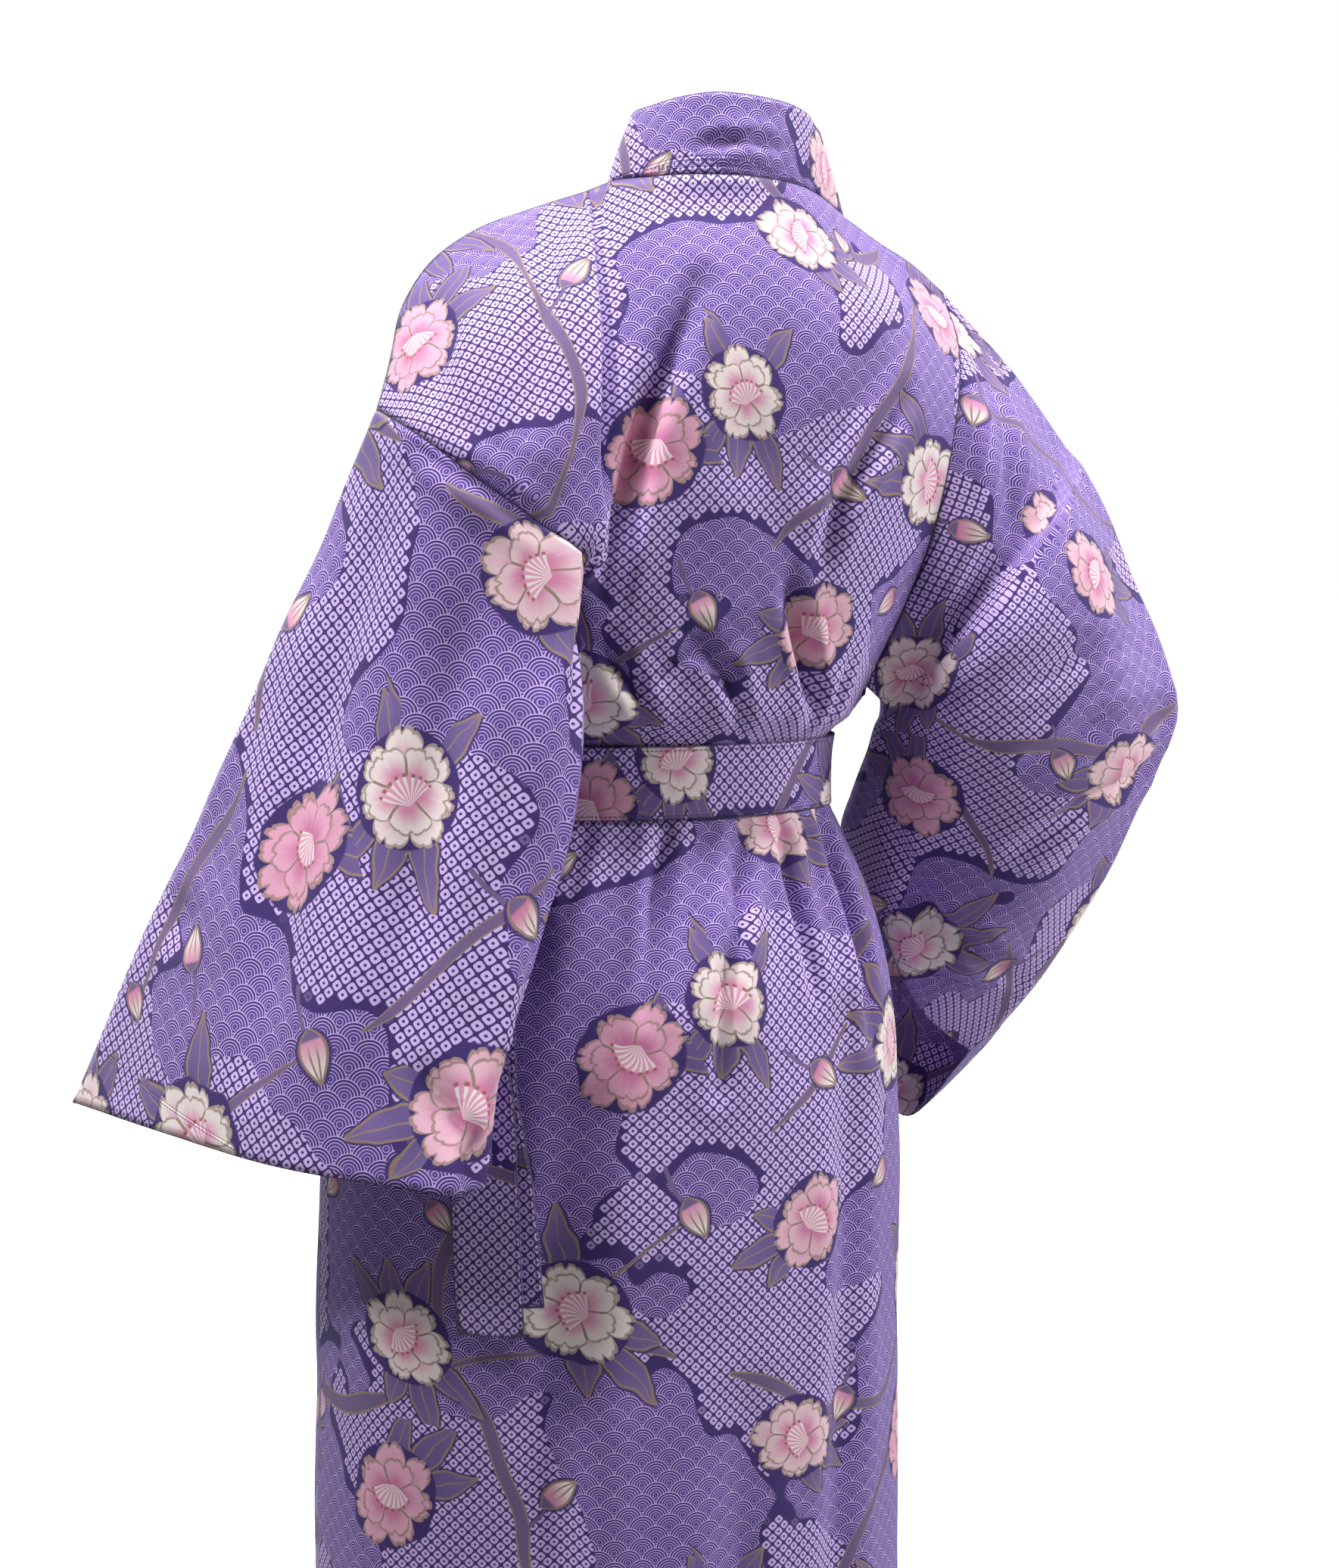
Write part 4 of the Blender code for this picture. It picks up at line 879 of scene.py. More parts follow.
class Seams:
    """Brings the edges of neighbouring pieces back onto each other after creasing."""

    def __init__(self, reach: float) -> None:
        """Take the farthest that two matching edge points may stand apart."""
        self.reach = reach

    @staticmethod
    def _border(weave: Weave) -> Array:
        """Rows and columns of a piece's edge points."""
        rows, columns = weave.points.shape[:2]
        return np.array([(row, column) for row in range(rows) for column in range(columns)
                         if row in (0, rows - 1) or column in (0, columns - 1)])

    def close(self, weaves: list) -> None:
        """Move matching edge points of all pieces to their common middle."""
        borders = [self._border(weave) for weave in weaves]
        places = [weave.points[index[:, 0], index[:, 1]] for weave, index in zip(weaves, borders)]
        moved = [place.copy() for place in places]
        for one in range(len(weaves)):
            for other in range(len(weaves)):
                if one == other:
                    continue
                gaps = np.linalg.norm(places[one][:, None] - places[other][None], axis=2)
                nearest = gaps.argmin(axis=1)
                close = gaps[np.arange(len(nearest)), nearest] < self.reach
                middle = (places[one] + places[other][nearest]) / 2
                moved[one][close] = middle[close]
        for weave, index, place in zip(weaves, borders, moved):
            weave.points[index[:, 0], index[:, 1]] = place


def deselect() -> None:
    """Leave nothing selected."""
    for thing in bpy.context.selected_objects:
        thing.select_set(False)


def write_map(mesh: bpy.types.Mesh, name: str, places: Array) -> None:
    """Write a map of the mesh from one flat place for each vertex."""
    index = np.zeros(len(mesh.loops), int)
    mesh.loops.foreach_get("vertex_index", index)
    layer = mesh.uv_layers.get(name) or mesh.uv_layers.new(name=name)
    layer.data.foreach_set("uv", places.reshape(-1, 2)[index].astype(np.float32).ravel())


def hand_over(thing: bpy.types.Object, node: str) -> None:
    """Put a finished piece in place of its node in the frame."""
    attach(thing, BODY)
    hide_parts(node)


@dataclass
class ClothPiece:
    """One sewn piece: its weave, its stretch in the print and its thickness."""

    name: str
    weave: Weave
    stretch: float = 1.0
    thickness: float = CLOTH
    hem: Optional[Array] = None
    held: str = "draped"
    rests_on: tuple = ()

    def build(self, material: bpy.types.Material) -> bpy.types.Object:
        """Make the piece from a grid, shape it, dress it and put it in place of its node.

        Args:
            material: the printed cotton.

        Returns:
            The finished piece.
        """
        rows, columns = self.weave.points.shape[:2]
        deselect()
        bpy.ops.mesh.primitive_grid_add(x_subdivisions=columns - 1, y_subdivisions=rows - 1, size=1.0)
        piece = bpy.context.object
        piece.name = f"{self.name}_cloth"
        piece.data.name = piece.name
        mesh = piece.data
        mesh.vertices.foreach_set("co", self.weave.points.astype(np.float32).ravel())
        self._lay_flat(mesh)
        expected = self.weave.outward()
        mesh.update()
        first = mesh.polygons[len(mesh.polygons) // 2]
        place = expected.reshape(-1, 3)[first.vertices[0]]
        if first.normal.dot(Vector(place)) < 0:
            mesh.flip_normals()
        if self.weave.ring_cut is not None:
            shell = bmesh.new()
            shell.from_mesh(mesh)
            bmesh.ops.remove_doubles(shell, verts=shell.verts, dist=1e-6)
            shell.to_mesh(mesh)
            shell.free()
        mesh.shade_smooth()
        wall = piece.modifiers.new("cloth", "SOLIDIFY")
        wall.thickness = self.thickness
        wall.offset = -1.0
        wall.use_rim = True
        mesh.materials.append(material)
        self._declare(piece)
        return piece

    def _lay_flat(self, mesh: bpy.types.Mesh) -> None:
        """Write three maps: place in the print, distance from the hems, distance from the seams."""
        flat = self.weave.lengths
        shift, turn = PRINT_PLACES[self.name]
        cos, sin = math.cos(turn) / self.stretch, math.sin(turn) / self.stretch
        mesh.uv_layers[0].name = "print"
        write_map(mesh, "print", np.stack((flat[..., 0] * cos - flat[..., 1] * sin + shift[0],
                                           flat[..., 0] * sin + flat[..., 1] * cos + shift[1]), axis=-1))
        write_map(mesh, "hem", flat if self.hem is None else self.hem)
        write_map(mesh, "seam", np.stack((self.weave.edge_distance(),) * 2, axis=-1))

    def _declare(self, piece: bpy.types.Object) -> None:
        """Hand the piece to the frame in place of its node."""
        across, down = Curves.gaps(self.weave.points, 1), Curves.gaps(self.weave.points, 0)
        hand_over(piece, self.name)


class Robe:
    """All the robe's cloth: refines each control grid, creases it and sews the edges together."""

    def __init__(self) -> None:
        """Cut the control grids and set how finely each stretch is refined."""
        self.cut = Cut()
        yoke = [level * YOKE_STEP for level in YOKE_ROWS]
        waist = [yoke[-1] + WAIST_STEP * (row + 1) for row in range(WAIST_ROWS)]
        skirt = [waist[-1] - (level - BELT_TOP) for level in SKIRT_LEVELS + (-ROBE_LENGTH,)]
        self.row_knots = np.array(yoke + waist + skirt)
        self.row_steps = [max(2, round(gap / FINE)) for gap in np.diff(self.row_knots)]
        self.pieces: dict[str, ClothPiece] = {}

    def _panel(self, grid: Array, facing: Facing, column_steps: int) -> Weave:
        """Weave of the back or a front."""
        count = grid.shape[1]
        return Weave(grid, facing, self.row_knots, self.row_steps, np.arange(count) * COLUMN_GAP,
                     [column_steps] * (count - 1))

    def _sleeve(self, grid: Array, facing: Facing, row_steps: int, middle: float) -> Weave:
        """Weave of a sleeve, opened along its lower edge."""
        rows = grid.shape[0]
        last = len(YOKE_ROWS) - 1
        gaps = list(np.diff(self.row_knots[:last + 1]))
        steps = self.row_steps[:last]
        spans = gaps + gaps[::-1]
        counts = steps + steps[::-1]
        return Weave(grid, facing, np.arange(rows) * SLEEVE_STEP, [row_steps] * (rows - 1),
                     Curves.running(spans)[:-1], list(zip(counts, spans)), SLEEVE_CUT, middle)

    def _collar(self) -> Weave:
        """Weave of the collar band."""
        end = self.cut.collar_end
        gaps = list(np.diff(self.row_knots[:end + 1]))
        steps = self.row_steps[:end]
        neck = NECK_RIGHT_COLUMN - NECK_LEFT_COLUMN
        spans = gaps[::-1] + [COLUMN_GAP] * neck + gaps
        counts = steps[::-1] + [COLLAR_FINE] * neck + steps
        return Weave(self.cut.collar, Facing.OUT, Curves.running(spans), counts,
                     np.arange(COLLAR_COLUMNS + 1) * COLLAR_GAP, [COLLAR_FINE] * COLLAR_COLUMNS, middle=0.0)

    def shape(self) -> None:
        """Refine, crease and sew every piece."""
        cut = self.cut
        sewn = {
            "back": self._panel(cut.back, Facing.OUT, BACK_FINE),
            "left_front": self._panel(cut.left_front, Facing.IN, LEFT_FRONT_FINE),
            "right_front": self._panel(cut.right_front, Facing.OUT, RIGHT_FRONT_FINE),
            "left_sleeve": self._sleeve(cut.left_sleeve, Facing.OUT, LEFT_SLEEVE_FINE, LEFT_SLEEVE_MIDDLE),
            "right_sleeve": self._sleeve(cut.right_sleeve, Facing.IN, RIGHT_SLEEVE_FINE, RIGHT_SLEEVE_MIDDLE),
            "collar": self._collar(),
        }
        for name, weave in sewn.items():
            weave.crease(COLLAR_RIPPLE if name == "collar" else RIPPLE)
        Seams(SEAM_REACH).close(list(sewn.values()))
        for name, weave in sewn.items():
            self.pieces[name] = ClothPiece(name, weave, rests_on=("collar" if name == "back" else "back",))
        self.pieces["left_sleeve"].stretch = LEFT_SLEEVE_STRETCH
        collar = self.pieces["collar"]
        collar.thickness = COLLAR_CLOTH
        across = collar.weave.lengths[..., 0]
        collar.hem = np.stack((collar.weave.lengths[..., 1], np.abs(across) + COLLAR_HEM), axis=-1)
        self._belt()

    def _belt(self) -> None:
        """Weaves of the belt's loop and its hanging ends."""
        across = [BELT_FINE] * 2
        loop = Weave(Cut.belt(), Facing.OUT, np.arange(3) * BELT_STEP, across,
                     np.arange(BELT_COLUMNS) * BELT_GAP, [(LOOP_FINE, BELT_GAP)] * BELT_COLUMNS, BELT_CUT,
                     BELT_MIDDLE)
        self._roll(loop)
        self.pieces["belt"] = ClothPiece("belt", loop, 1.0, BELT_CLOTH, self._edges(loop, 0), "stretched",
                                         ("back",))
        for name, route in TAIL_ROUTES.items():
            tail = Weave(Cut.tail(route), Facing.OUT, np.arange(TAIL_ROWS + 1) * TAIL_STEP,
                         [TAIL_FINE] * TAIL_ROWS, np.arange(3) * TAIL_GAP, across)
            self._roll(tail)
            self.pieces[name] = ClothPiece(name, tail, 1.0, BELT_CLOTH, self._edges(tail, 1), "hung",
                                           ("belt",))

    @staticmethod
    def _roll(weave: Weave) -> None:
        """Give a band its soft ripples."""
        x, y, z = np.moveaxis(weave.points, -1, 0)
        ripple = 0.0005 * np.sin(70.0 * x + 55.0 * y + 20.0 * z) + 0.0003 * np.sin(160.0 * z + 40.0 * x)
        weave.points = weave.points + weave.outward() * ripple[..., None]

    @staticmethod
    def _edges(weave: Weave, axis: int) -> Array:
        """Map of the way along a band and the distance from its nearest long edge."""
        counts = weave.points.shape[:2]
        share = np.linspace(0.0, 1.0, counts[axis])
        near = np.minimum(share, 1 - share) * BELT_WIDTH + BELT_HEM
        shape = (-1, 1) if axis == 0 else (1, -1)
        return np.stack((weave.lengths[..., axis], np.broadcast_to(near.reshape(shape), counts)), axis=-1)

    def build(self, material: bpy.types.Material) -> None:
        """Make every piece of cloth."""
        for piece in self.pieces.values():
            piece.build(material)


@dataclass
class Knot:
    """The belt's knot, a tight lump of cloth with the turns of the tie showing, and its turn in degrees."""

    place: tuple = KNOT_PLACE
    size: tuple = KNOT_SIZE
    swell: float = 1.27
    turn: float = -46.5
    rounds: int = 5

    def build(self, material: bpy.types.Material) -> bpy.types.Object:
        """Shape the knot from a cube cage and put it in place of its node."""
        deselect()
        bpy.ops.mesh.primitive_cube_add(size=1.0)
        knot = bpy.context.object
        knot.name = "belt_knot_cloth"
        knot.data.name = knot.name
        deselect()
        knot.select_set(True)
        bpy.context.view_layer.objects.active = knot
        rounded = knot.modifiers.new("rounded", "SUBSURF")
        rounded.levels = rounded.render_levels = self.rounds
        bpy.ops.object.modifier_apply(modifier="rounded")
        mesh = knot.data
        points = self._points(mesh).astype(float)
        x, y, z = points.T
        wrap = 0.045 * np.abs(np.sin(9.0 * (z + 0.6 * x))) ** 0.6 - 0.03
        dent = -0.05 * np.exp(-((x / 0.12) ** 2)) * (y > 0)
        points = points * (1.0 + (wrap + dent) * 1.2)[:, None]
        mesh.vertices.foreach_set("co", points.astype(np.float32).ravel())
        scale = Matrix.Diagonal((*(self.swell * value for value in self.size), 1.0))
        turn = Matrix.Rotation(math.radians(self.turn), 4, "Z")
        mesh.transform(Matrix.Translation(Vector(self.place)) @ turn @ scale)
        mesh.update()
        self._map(mesh)
        mesh.shade_smooth()
        mesh.materials.append(material)
        hand_over(knot, "belt_knot")
        LOG.info("%s: tied", knot.name)
        return knot

    @staticmethod
    def _points(mesh: bpy.types.Mesh) -> Array:
        """The mesh's vertices, one in each row."""
        points = np.zeros(len(mesh.vertices) * 3, np.float32)
        mesh.vertices.foreach_get("co", points)
        return points.reshape(-1, 3)

    @classmethod
    def _map(cls, mesh: bpy.types.Mesh) -> None:
        """Lay the print over the knot by its own width and height, far from any hem or seam."""
        x, y, z = cls._points(mesh).T
        mesh.uv_layers[0].name = "print"
        write_map(mesh, "print", np.stack((0.7 * x - 0.7 * y + 0.3, z + 1.0), axis=-1))
        for name in ("hem", "seam"):
            write_map(mesh, name, np.full((len(x), 2), 0.5))


def joined(operation: str, swapped: bool = False) -> Callable:
    """The method that joins a wire and another value in one Math node.

    Args:
        operation: the node's operation.
        swapped: whether the other value comes first.

    Returns:
        The method.
    """
    def join(wire: "Wire", other: object) -> "Wire":
        """Add the node and return its result."""
        return wire.maths(operation, *((other, wire) if swapped else (wire, other)))

    return join


class Wire:
    """A shader value with arithmetic: each operation adds its node and returns its result."""

    tree: bpy.types.NodeTree

    def __init__(self, socket: bpy.types.NodeSocket) -> None:
        """Hold one output socket."""
        self.socket = socket

    @classmethod
    def node(cls, kind: str, inputs: Optional[dict] = None, **settings: object) -> bpy.types.Node:
        """Add a node, set it up and link or set its inputs.

        Args:
            kind: the node's type.
            inputs: values or wires by socket name or number.
            settings: attributes of the node.

        Returns:
            The new node.
        """
        made = cls.tree.nodes.new(kind)
        for name, value in settings.items():
            setattr(made, name, value)
        for name, value in (inputs or {}).items():
            cls.feed(made.inputs[name], value)
        return made

    @classmethod
    def feed(cls, socket: bpy.types.NodeSocket, value: object) -> None:
        """Link a wire to a socket, or set the socket's own value."""
        if isinstance(value, Wire):
            cls.tree.links.new(value.socket, socket)
        else:
            socket.default_value = value

    @classmethod
    def maths(cls, operation: str, *values: object) -> "Wire":
        """One Math node."""
        return cls(cls.node("ShaderNodeMath", dict(enumerate(values)), operation=operation).outputs[0])

    @classmethod
    def vector(cls, operation: str, *values: object) -> "Wire":
        """One Vector Math node, whose vector result it returns."""
        made = cls.node("ShaderNodeVectorMath", dict(enumerate(values)), operation=operation)
        return cls(made.outputs["Vector"])

    @classmethod
    def noise(cls, place: "Wire", scale: float, detail: float, roughness: float = 0.5,
              output: int = 0) -> "Wire":
        """Cloud-like share at a place of the flat cut, or a colour of such shares as output 1."""
        made = cls.node("ShaderNodeTexNoise",
                        {"Vector": place, "Scale": scale, "Detail": detail, "Roughness": roughness})
        return cls(made.outputs[output])

    @classmethod
    def flat_map(cls, name: str) -> "Wire":
        """One of the mesh's flat maps."""
        return cls(cls.node("ShaderNodeUVMap", uv_map=name).outputs[0])

    @classmethod
    def length(cls, x: "Wire", y: "Wire") -> "Wire":
        """Distance from the middle."""
        return cls.maths("SQRT", x * x + y * y)

    @classmethod
    def pack(cls, x: "Wire", y: "Wire") -> "Wire":
        """A flat vector from two numbers."""
        return cls(cls.node("ShaderNodeCombineXYZ", {0: x, 1: y}).outputs[0])

    def scaled(self, factor: object) -> "Wire":
        """A vector times a number."""
        made = self.node("ShaderNodeVectorMath", {0: self, "Scale": factor}, operation="SCALE")
        return Wire(made.outputs["Vector"])

    def split(self) -> "tuple[Wire, Wire, Wire]":
        """The three numbers of a vector."""
        made = self.node("ShaderNodeSeparateXYZ", {0: self})
        return tuple(Wire(output) for output in made.outputs)

    @classmethod
    def mix(cls, share: object, first: object, second: object, kind: str = "RGBA") -> "Wire":
        """Blend two colours, or with kind VECTOR two vectors, by a share from 0 to 1."""
        place, result = {"RGBA": (6, 2), "VECTOR": (4, 1)}[kind]
        made = cls.node("ShaderNodeMix", {"Factor": share, place: first, place + 1: second}, data_type=kind)
        return cls(made.outputs[result])

    def step(self, low: object, high: object) -> "Wire":
        """Soft step from 0 at low to 1 at high."""
        made = self.node("ShaderNodeMapRange", {"Value": self, "From Min": low, "From Max": high},
                         interpolation_type="SMOOTHSTEP")
        return Wire(made.outputs["Result"])

    __add__ = joined("ADD")
    __sub__ = joined("SUBTRACT")
    __rsub__ = joined("SUBTRACT", True)
    __mul__ = joined("MULTIPLY")
    __truediv__ = joined("DIVIDE")
    __rtruediv__ = joined("DIVIDE", True)

    def abs(self) -> "Wire":
        """Size without sign."""
        return self.maths("ABSOLUTE", self)

    def fract(self) -> "Wire":
        """Part after the whole number."""
        return self.maths("FRACT", self)

    def power(self, exponent: float) -> "Wire":
        """Power."""
        return self.maths("POWER", self, exponent)

    def wave(self) -> "Wire":
        """Sine."""
        return self.maths("SINE", self)

    def fourth(self) -> "Wire":
        """Fourth power."""
        square = self * self
        return square * square

    def held(self, low: float, high: float) -> "Wire":
        """The number, kept between two others."""
        return self.maths("MINIMUM", self.maths("MAXIMUM", self, low), high)

    def above(self, level: float) -> "Wire":
        """1 where the number is greater than the level, else 0."""
        return self.maths("GREATER_THAN", self, level)


@dataclass(frozen=True)
class Motif:
    """One flower or bud in the repeat: its place, turn, size and tint from cream to rose."""

    across: float
    up: float
    turn: float
    size: float
    tint: float


FLOWERS = (
    Motif(0.055, 0.050, 0.4, 0.036, 0.25),
    Motif(0.215, 0.100, 2.3, 0.032, 0.75),
    Motif(0.360, 0.030, 4.0, 0.031, 0.40),
    Motif(0.090, 0.215, 5.3, 0.035, 0.90),
    Motif(0.150, 0.250, 1.2, 0.030, 0.35),
    Motif(0.310, 0.205, 3.1, 0.036, 0.20),
    Motif(0.205, 0.365, 0.1, 0.031, 0.60),
    Motif(0.345, 0.335, 5.0, 0.034, 0.85),
)
BUDS = (
    Motif(0.130, 0.110, 1.1, 0.015, 0.2),
    Motif(0.285, 0.120, 2.6, 0.014, 0.7),
    Motif(0.020, 0.150, 4.4, 0.014, 0.3),
    Motif(0.225, 0.195, 0.6, 0.015, 0.9),
    Motif(0.355, 0.225, 3.6, 0.013, 0.2),
    Motif(0.045, 0.340, 5.6, 0.014, 0.5),
    Motif(0.255, 0.375, 2.0, 0.013, 0.3),
    Motif(0.385, 0.110, 0.9, 0.012, 0.8),
)


@dataclass(frozen=True)
class PrintedCotton:
    """Matt cotton with a dotted lattice, scale waves and double cherry blossoms on violet."""

    repeat: float = 0.41
    lattice: float = 0.0058
    fan: float = 0.0088
    roughness: float = 0.82
    violet: tuple = (0.036, 0.010, 0.150, 1.0)
    dot_ring: tuple = (0.720, 0.540, 0.970, 1.0)
    wave_ground: tuple = (0.105, 0.046, 0.330, 1.0)
    wave_dark: tuple = (0.022, 0.007, 0.100, 1.0)
    wave_line: tuple = (0.660, 0.480, 0.940, 1.0)
    leaf: tuple = (0.105, 0.060, 0.250, 1.0)
    leaf_light: tuple = (0.215, 0.145, 0.390, 1.0)
    branch: tuple = (0.180, 0.115, 0.270, 1.0)
    gold: tuple = (0.330, 0.225, 0.165, 1.0)
    cream: tuple = (0.920, 0.840, 0.800, 1.0)
    pink: tuple = (0.830, 0.360, 0.540, 1.0)
    rose: tuple = (0.640, 0.165, 0.360, 1.0)
    stamen: tuple = (0.420, 0.130, 0.120, 1.0)
    thread: tuple = (0.060, 0.030, 0.160, 1.0)
    # Dark violet, used both as the painted shadow line along the seams and as the dark of the cloth's random
    # grain
    seam_shadow_and_grain_dark: tuple = (0.020, 0.010, 0.060, 1.0)
    grain_pale: tuple = (0.75, 0.68, 0.95, 1.0)

    def make(self) -> bpy.types.Material:
        """Build the node tree.

        Returns:
            The printed cotton material.
        """
        material = bpy.data.materials.new("printed_cotton")
        material.use_nodes = True
        Wire.tree = material.node_tree
        shader = material.node_tree.nodes["Principled BSDF"]
        flat = Wire.flat_map("print")
        u, v, _ = flat.split()
        colour = self._grounds(flat, u, v)
        colour = self._branches(colour, flat, u, v)
        colour = self._blossoms(colour, flat)
        colour = self._buds(colour, flat)
        stitch, fold = self._stitches(Wire.flat_map("hem"))
        colour = Wire.mix(stitch, colour, self.thread)
        seam, _, _ = Wire.flat_map("seam").split()
        # Painted shadow: a thin dark line along every edge of a piece, standing in for the shade in the seams
        colour = Wire.mix(seam.step(0.0011, 0.0003) * 0.85, colour, self.seam_shadow_and_grain_dark)
        weave = self._weave(u, v)
        grain = Wire.noise(flat, 900.0, 2.0)
        colour = Wire.mix(0.06, colour, Wire.mix(grain, self.seam_shadow_and_grain_dark, self.grain_pale))
        Wire.feed(shader.inputs["Base Color"], colour)
        rough = Wire.maths("MULTIPLY_ADD", grain, 0.12, self.roughness - 0.06)
        Wire.feed(shader.inputs["Roughness"], rough)
        shader.inputs["Sheen Weight"].default_value = 0.12
        shader.inputs["Sheen Roughness"].default_value = 0.5
        shader.inputs["Specular IOR Level"].default_value = 0.25
        wrinkle = Wire.noise(flat, 26.0, 4.0, 0.55)
        height = weave * 0.00006 + wrinkle * 0.0022 - stitch * 0.0005 - fold * 0.0006
        height = height - seam.step(0.003, 0.0) * 0.0012
        bump = Wire.node("ShaderNodeBump", {"Strength": 0.55, "Distance": 1.0, "Height": height})
        Wire.feed(shader.inputs["Normal"], Wire(bump.outputs[0]))
        return material

    @staticmethod
    def _weave(u: Wire, v: Wire) -> Wire:
        """Height of the crossing threads."""
        return (u * THREADS).wave() * (v * THREADS).wave()

    def _stitches(self, hem: Wire) -> "tuple[Wire, Wire]":
        """Masks of the stitch line and of the fold's edge along the hems."""
        along, away, _ = hem.split()
        dash = ((along * STITCHES).fract() - 0.5).abs().step(0.40, 0.32)
        line = (away - STITCH_LINE).abs().step(0.00062, 0.00030)
        fold = (away - FOLD_LINE).abs().step(0.0012, 0.0)
        return dash * line * 0.75, fold

    def _grounds(self, flat: Wire, u: Wire, v: Wire) -> Wire:
        """Dotted lattice and scale waves, each in its own patches of the violet ground."""
        diagonal = Wire.pack((u + v) * EIGHTH_TURN, (v - u) * EIGHTH_TURN).scaled(1.0 / self.lattice)
        a, b, _ = Wire.vector("SUBTRACT", Wire.vector("FRACTION", diagonal), (0.5, 0.5, 0.5)).split()
        x, y, _ = Wire.vector("FLOOR", diagonal).scaled(self.lattice).split()
        centre = Wire.pack((x - y) * EIGHTH_TURN, (x + y) * EIGHTH_TURN)
        spot = self._patch(centre)
        here = self._patch(flat)
        away = (a.fourth() + b.fourth()).power(0.25)
        ring = away.step(0.44, 0.37) * away.step(0.10, 0.16) * spot.step(0.494, 0.493)
        dotted = Wire.mix(ring, self.violet, self.dot_ring)
        return Wire.mix(here.step(0.499, 0.501), dotted, self._fans(u, v))

    @staticmethod
    def _patch(place: Wire) -> Wire:
        """Cloud-like share that sets where the waves take over from the dots."""
        return Wire.noise(place, 7.5, 1.6, 0.45)

    def _fans(self, u: Wire, v: Wire) -> Wire:
        """Overlapping rows of scale waves with their concentric lines."""
        x, y = u / self.fan, v / self.fan
        first = Wire.maths("CEIL", (y - 1.0) / FAN_RISE)
        reach = None
        for index in (1.0, 0.0):
            row = first + index
            dy = y - row * FAN_RISE
            dx = ((x + row) * 0.5 + 0.5).fract() * 2.0 - 1.0
            away = Wire.length(dx, dy)
            if reach is None:
                reach = away
            else:
                inside = Wire.maths("LESS_THAN", away, 1.0)
                reach = reach + (away - reach) * inside
        wave = ((reach - 0.965) * (FULL_TURN * 5.2) + HALF_TURN / 2).wave()
        dark = (0.0 - wave).step(-0.10, 0.75) * (reach.step(0.35, 0.95) * 0.65 + 0.35)
        pale = wave.step(0.15, 0.8) * (reach.step(0.1, 0.9) * 0.35 + 0.65)
        return Wire.mix(pale, Wire.mix(dark, self.wave_ground, self.wave_dark), self.wave_line)

    def _branches(self, colour: Wire, flat: Wire, u: Wire, v: Wire) -> Wire:
        """Slender branches that run through the repeat, broken here and there."""
        turn = FULL_TURN / self.repeat
        bend = Wire.noise(flat, 9.0, 1.0)
        runs = ((1.0, 0.0, 0.030, 0.4), (1.0, -1.0, 0.024, 2.2), (0.0, 1.0, 0.034, 4.0))
        for across, up, sway, phase in runs:
            along = v if across == 1.0 else u
            path = (along * turn + phase).wave() * sway + (bend - 0.5) * 0.05
            place = u * across + v * up + path
            away = Wire.maths("WRAP", place, self.repeat / 2, -self.repeat / 2).abs()
            width = Wire.noise(flat, 8.0 + phase, 0.0).step(0.36, 0.58) * 0.0044
            lining = width.above(0.0009)
            edge = (away - width).step(0.0008, 0.0004) * lining
            inner = (away - width + 0.0008).step(0.0004, 0.0) * lining
            colour = Wire.mix(edge, colour, self.gold)
            colour = Wire.mix(inner, colour, self.branch)
        return colour

    def _nearest(self, flat: Wire, motifs: tuple) -> "tuple[Wire, Wire, Wire]":
        """The place relative to the nearest motif, with that motif's turn, size and tint.

        Args:
            flat: flat-cut coordinates in metres.
            motifs: the motifs of one kind.

        Returns:
            The turned place in units of the motif's size, its tint and its turn.
        """
        best = local = facts = None
        half = self.repeat / 2
        for motif in motifs:
            moved = Wire.vector("SUBTRACT", flat, (motif.across, motif.up, 0.0))
            moved = Wire.vector("WRAP", moved, (half, half, 1.0), (-half, -half, -1.0))
            product = Wire.node("ShaderNodeVectorMath", {0: moved, 1: moved}, operation="DOT_PRODUCT")
            away = Wire(product.outputs["Value"])
            own = (motif.turn, motif.size, motif.tint)
            if best is None:
                best, local = away, moved
                facts = Wire.vector("ADD", own, (0.0, 0.0, 0.0))
                continue
            nearer = Wire.maths("LESS_THAN", away, best)
            local = Wire.mix(nearer, local, moved, "VECTOR")
            facts = Wire.mix(nearer, facts, own, "VECTOR")
            best = Wire.maths("MINIMUM", away, best)
        turn, size, tint = facts.split()
        turned = Wire(Wire.node("ShaderNodeVectorRotate", {"Vector": local, "Angle": turn},
                                rotation_type="Z_AXIS").outputs[0])
        return turned.scaled(1.0 / size), tint, turn

